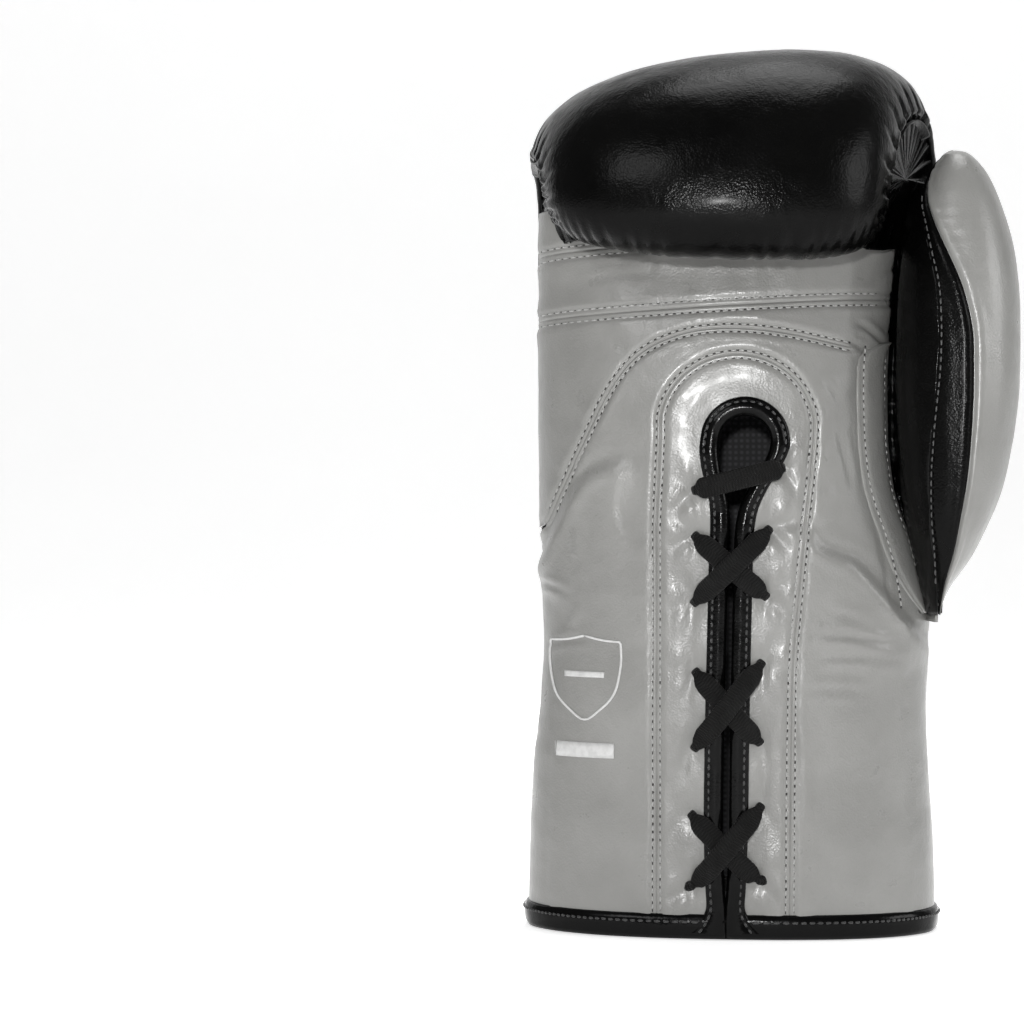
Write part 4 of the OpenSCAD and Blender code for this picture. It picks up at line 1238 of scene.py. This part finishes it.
def build_lace():
    """One flat braid, wide where it lies on the glove and bunched where it goes through its holes."""
    route = np.array(strand(-1)[::-1] + top_bar() + strand(1), float)
    n = len(route) * 14
    path = through(route, n)
    p, out = palm_frame(path[:, 0], path[:, 1])
    p = p + out * path[:, 2, None]
    flat = np.stack([path[:, 0], 0 * path[:, 0], path[:, 1]], axis=1)
    way = np.gradient(flat, axis=0)
    smoothing = np.hanning(53)
    way = unit(np.stack([np.convolve(way[:, k], smoothing, mode="same") for k in range(3)], axis=1))
    tangent = unit(np.gradient(p, axis=0))
    wide = np.cross(way, np.array([0, -1.0, 0]))
    wide = unit(wide - (wide * tangent).sum(axis=1, keepdims=True) * tangent)
    for k in range(1, n):
        if np.dot(wide[k], wide[k - 1]) < 0:
            wide[k] *= -1
    up = np.cross(tangent, wide)
    width = BUNCHED_W + (LACE_W - BUNCHED_W) * ramp(path[:, 2], 0.5, 3.2) + 1.2 * ramp(-path[:, 2], 5, 7)
    turn = full_turn(16)
    cx = np.sign(np.cos(turn)) * np.abs(np.cos(turn)) ** 0.55
    cy = np.sign(np.sin(turn)) * np.abs(np.sin(turn)) ** 0.7
    thick = LACE_T * (1 + 0.9 * ramp(4.5 - width, 0, 1.5))
    rings = (p[:, None] + wide[:, None] * (cx[None, :, None] * width[:, None, None] / 2)
             + up[:, None] * (cy[None, :, None] * thick[:, None, None] / 2))
    obj = tube("lace_braid", rings, LACE)
    run = np.concatenate([[0], np.cumsum(np.linalg.norm(np.diff(p, axis=0), axis=1))])
    weave = np.zeros((len(obj.data.vertices), 3))
    weave[:n * 16, 0] = (cx[None, :] * width[:, None] / 2).ravel() * MM
    weave[:n * 16, 1] = np.repeat(run, 16) * MM
    layer = obj.data.attributes.new("weave", "FLOAT_VECTOR", "POINT")
    layer.data.foreach_set("vector", weave.ravel())
    piece(obj, nodes=["lace"])


# ---- Stitches ----
class Stitches:
    """Collects stitches and needle holes, and makes one mesh of each; the holes are dark lenses of painted
    shade.
    """

    def __init__(self):
        self.places = []
        self.holes = []

    def row(self, points, normals, lift=0.12):
        """A row along points, which already lie a stitch apart."""
        for k in range(len(points) - 1):
            self.places.append((points[k], points[k + 1], unit(normals[k] + normals[k + 1]), lift))
        last = len(points) - 1
        self.holes += [(points[k], normals[k], points[min(k + 1, last)] - points[max(k - 1, 0)])
                       for k in range(last + 1)]

    def thread_mesh(self, name, material, r=0.3, share=0.66):
        """Each stitch is a short capsule that dips at both ends. Share is its length over the stitch's."""
        profile = [(-1.0, 0.3, -0.5), (-0.85, 0.75, -0.15), (-0.4, 1, 0.1), (0.4, 1, 0.1),
                   (0.85, 0.75, -0.15), (1.0, 0.3, -0.5)]
        turns = [2 * math.pi * k / 6 for k in range(6)]
        points, faces = [], []
        for a, b, n, lift in self.places:
            t = unit(b - a)
            side = np.cross(n, t)
            mid, half = (a + b) / 2, np.linalg.norm(b - a) * share / 2
            start = len(points)
            for along, thick, up in profile:
                c = mid + t * half * along + n * (lift + up * r)
                points += [c + r * thick * (math.cos(q) * side * 1.25 + math.sin(q) * n) for q in turns]
            for ring in range(5):
                for j in range(6):
                    i, k = start + ring * 6 + j, start + ring * 6 + (j + 1) % 6
                    faces.append((i, k, k + 6, i + 6))
            faces.append(tuple(start + j for j in range(5, -1, -1)))
            faces.append(tuple(start + 30 + j for j in range(6)))
        return add_mesh(name, points, faces, material)

    def hole_shade_mesh(self, name, material, r=0.6, lift=0.09):
        """Each needle hole is a small lens let into the leather, coloured dark as painted shade for the
        inside of the hole.
        """
        points, faces = [], []
        for c, n, t in self.holes:
            t = unit(t)
            side = np.cross(n, t)
            start = len(points)
            points.append(c + n * (lift + 0.04))
            points += [c + n * lift + r * (math.cos(q) * t + 0.85 * math.sin(q) * side)
                       for q in full_turn(8)]
            points.append(c - n * 0.4)
            for j in range(8):
                i, k = start + 1 + j, start + 1 + (j + 1) % 8
                faces.append((start, i, k))
                faces.append((start + 9, k, i))
        return add_mesh(name, points, faces, material)


def shifted(line, d):
    """A polyline moved sideways by d."""
    way = unit(np.gradient(line, axis=0))
    return line + d * np.stack([-way[:, 1], way[:, 0]], axis=1)


def palm_rows(stitches, line, gap):
    """A row on each side of a seam."""
    for d in (-gap, gap):
        xz = evenly(shifted(evenly(line, 1.5), d), STITCH)
        stitches.row(*palm_skin(xz[:, 0], xz[:, 1]))


def build_palm_stitches():
    s = Stitches()
    palm_rows(s, FACING_SEAM[FACING_SEAM[:, 1] > 10], ROW_GAP)
    palm_rows(s, OUTER_ARCH[2:], ROW_GAP)
    for line in BAND_SEAMS:
        palm_rows(s, evenly(line, 2)[1:-3], BAND_ROW_GAP)
    for share in STRIP_ROWS:
        xz = evenly(strip_edge(STRIP_W * (1 - share) * 1.02 - 0.2)[1:-1], STITCH)
        p, n = palm_frame(xz[:, 0], xz[:, 1])
        s.row(p + n * 1.05, n)
    piece(s.thread_mesh("palm_stitches", THREAD))
    # The needle holes are drawn as dark lenses of painted shade.
    piece(s.hole_shade_mesh("palm_needle_hole_shade", HOLE_SHADE))


def build_binding_stitches():
    """Rows along the slit's binding and the hem, and inside the badge's rim."""
    s = Stitches()
    xz = evenly(through(slit_edge(BINDING_ROW), 300), STITCH)
    p, n = palm_frame(xz[:, 0], xz[:, 1])
    s.row(p + n * 1.45, n)
    angles = np.linspace(float(angle_at(6, slit_x(0) + 9)), float(angle_at(6, slit_x(0) - 9)) + 360, 150)
    p, n = body_frame(np.full(angles.shape, 6.8), angles)
    s.row(p + n * 1.75, n)
    line = badge_line(4.4)
    p, n, _ = back_xz(BADGE_X + line[:, 0], BADGE_Z + line[:, 1])
    s.row(p + n * 0.75, n)
    piece(s.thread_mesh("binding_stitches", BLACK_THREAD, 0.34))


def badge_line(inset):
    """A rounded rectangle inside the badge's edge, as points a stitch apart."""
    r = 3.0
    w, h = BADGE_W / 2 - inset - r, BADGE_H / 2 - inset - r
    points = []
    for cx, cz, start in ((w, h, 0), (-w, h, 90), (-w, -h, 180), (w, -h, 270)):
        turns = [math.radians(start + q) for q in (0, 30, 60, 90)]
        points += [[cx + r * math.cos(q), cz + r * math.sin(q)] for q in turns]
    points.append(points[0])
    return evenly(points, STITCH)


def build_thumb_stitches():
    """The seam inside the web's black leather, and the seams at the edges of the back."""
    s = Stitches()
    z = np.linspace(128, 268, 49)
    p, n = thumb_frame(thumb_row_at(z), seam_c(z)[:, 0] + 4)
    s.row(p + n * 0.5, n)
    blended(s.thread_mesh("web_stitches", DIM_THREAD, 0.25))
    s = Stitches()
    for side in (1, -1):
        z = np.linspace(14, 104, 33)
        a = 90 - side * (90 - seam_behind(z) - 2.4)
        p, n = body_frame(z, a)
        s.row(p + n * 0.25, n)
    piece(s.thread_mesh("side_stitches", BLACK_THREAD))


# ---- Prints ----
def print_line(name, xz, width):
    """A printed line of one width along a path on the palm."""
    way = unit(np.gradient(xz, axis=0))
    side = np.stack([-way[:, 1], way[:, 0]], axis=1)
    grid = xz[:, None, :] + side[:, None, :] * (np.linspace(-0.5, 0.5, 4) * width)[None, :, None]
    p, n = palm_skin(grid[..., 0], grid[..., 1], 0.3)
    piece(shell(name, p, n, PRINT, 0.3))


def build_palm_prints():
    """A plain shield outline with a bar in it, over a second bar."""
    cx, cz = BODY_X - 52.5, 94.0
    half = [[0, 15], [7, 13.5], [13.5, 13], [13.5, 4], [11, -6], [5, -12.5], [0, -15.5]]
    shield = half + [[-x, z] for x, z in half[-2:0:-1]] + [half[0]]
    line = through(shield, 120, corners=(2, 10)) + [cx, cz]
    print_line("mark_outline", evenly(line, 1.2), 0.8)
    print_line("mark_bar", evenly([[cx - 7.5, cz + 1], [cx + 7.5, cz + 1]], 1), 2.2)
    print_line("size_bar", evenly([[cx - 11, cz - 26.5], [cx + 11, cz - 26.5]], 1), 5.5)


# ---- Plain CAD nodes that stay inside ----
INNER_NODES = (
    (FOAM, ["pad_outer_layer", "pad_middle_layer", "pad_inner_layer", "palm_pad", "cuff_pads", "wrist_pad",
            "thumb_pad", "grip_bar"]),
    (LINING, ["grip_bar_cover", "thumb_lining"]),
    (STAY, ["lace_stays"]),
    (LACE_TIP, ["lace_tips"]))


def finish_inner_nodes():
    for material, nodes in INNER_NODES:
        for name in nodes:
            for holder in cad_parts[name].material_slots:
                holder.material = material


# ---- Stage, light and camera ----
def build_stage():
    """A pale floor that curves up into a backdrop."""
    half, back, r = 4.0, 2.6, 1.2
    profile = [(-4.0, 0.0), (back - r, 0.0)]
    profile += [(back - r + r * math.sin(q), r - r * math.cos(q)) for q in np.linspace(0.1, math.pi / 2, 14)]
    profile += [(back, 4.0)]
    points = [(x, y, z) for y, z in profile for x in (-half, half)]
    faces = [(2 * k, 2 * k + 1, 2 * k + 3, 2 * k + 2) for k in range(len(profile) - 1)]
    floor = add_mesh("floor", np.array(points) / MM, faces, stage_material())


def stage_material():
    material, shader, n = new_material("stage_paper", (0.9, 0.9, 0.9), 0.9, Emission_Strength=0.55,
                                       Emission_Color=(1, 1, 1, 1))
    n.tint(shader, n.noise(3, 2), (0.3, (0.89, 0.89, 0.89)), (0.7, (0.91, 0.91, 0.91)))
    return material


def add_light(name, place, target, power, size):
    light = bpy.data.lights.new(name, "AREA")
    light.energy = power
    light.size = size
    obj = bpy.data.objects.new(name, light)
    obj.location = place
    obj.rotation_euler = (Vector(target) - Vector(place)).to_track_quat("-Z", "Y").to_euler()
    bpy.context.scene.collection.objects.link(obj)


def build_light():
    add_light("key", (-0.03, -1.08, 0.27), (-0.01, 0, 0.17), 6.0, 0.05)
    add_light("window", (-0.5, -0.9, 0.75), (0, 0, 0.16), 3.0, 0.4)
    add_light("side", (1.1, -0.3, 0.5), (0, 0, 0.16), 4, 0.5)
    add_light("back_key", (-0.12, 1.15, 0.42), (0, 0, 0.18), 10, 0.07)
    add_light("top", (0.1, 0.2, 1.2), (0, 0, 0.1), 5, 0.6)
    world = bpy.data.worlds.new("studio")
    world.use_nodes = True
    background = world.node_tree.nodes["Background"]
    background.inputs["Color"].default_value = (1, 1, 1, 1)
    background.inputs["Strength"].default_value = 0.18
    bpy.context.scene.world = world
    bpy.context.scene.view_settings.view_transform = "Standard"


CAMERA_D = 0.95       # from the palm's front to the camera
CAMERA_Z = 0.157
PALM_Y = -0.038
SENSOR_W = 36
VIEW_W = 0.366        # the picture's width at the palm
VIEW_X = -0.0915      # the picture's middle, left of the glove
VIEW_Z = 0.1542


def build_camera():
    data = bpy.data.cameras.new("camera")
    data.sensor_width = SENSOR_W
    data.lens = CAMERA_D / VIEW_W * SENSOR_W
    camera = bpy.data.objects.new("camera", data)
    camera.location = (0, PALM_Y - CAMERA_D, CAMERA_Z)
    way = Vector((VIEW_X, PALM_Y, VIEW_Z)) - camera.location
    camera.rotation_euler = way.to_track_quat("-Z", "Y").to_euler()
    bpy.context.scene.collection.objects.link(camera)
    bpy.context.scene.camera = camera


for build in (
        build_camera, build_stage, build_light, finish_inner_nodes, build_facing, build_lower_panel,
        build_upper_panels, build_strip, build_slit_binding, build_hem, build_back, build_under_panel,
        build_gussets, build_cuff_back, build_badge, build_back_stripes, build_thumb, build_web,
        build_thumb_side, build_keeper, build_cuff_lining, build_hand_lining, build_lace,
        build_palm_stitches, build_binding_stitches, build_thumb_stitches, build_palm_prints):
    build()
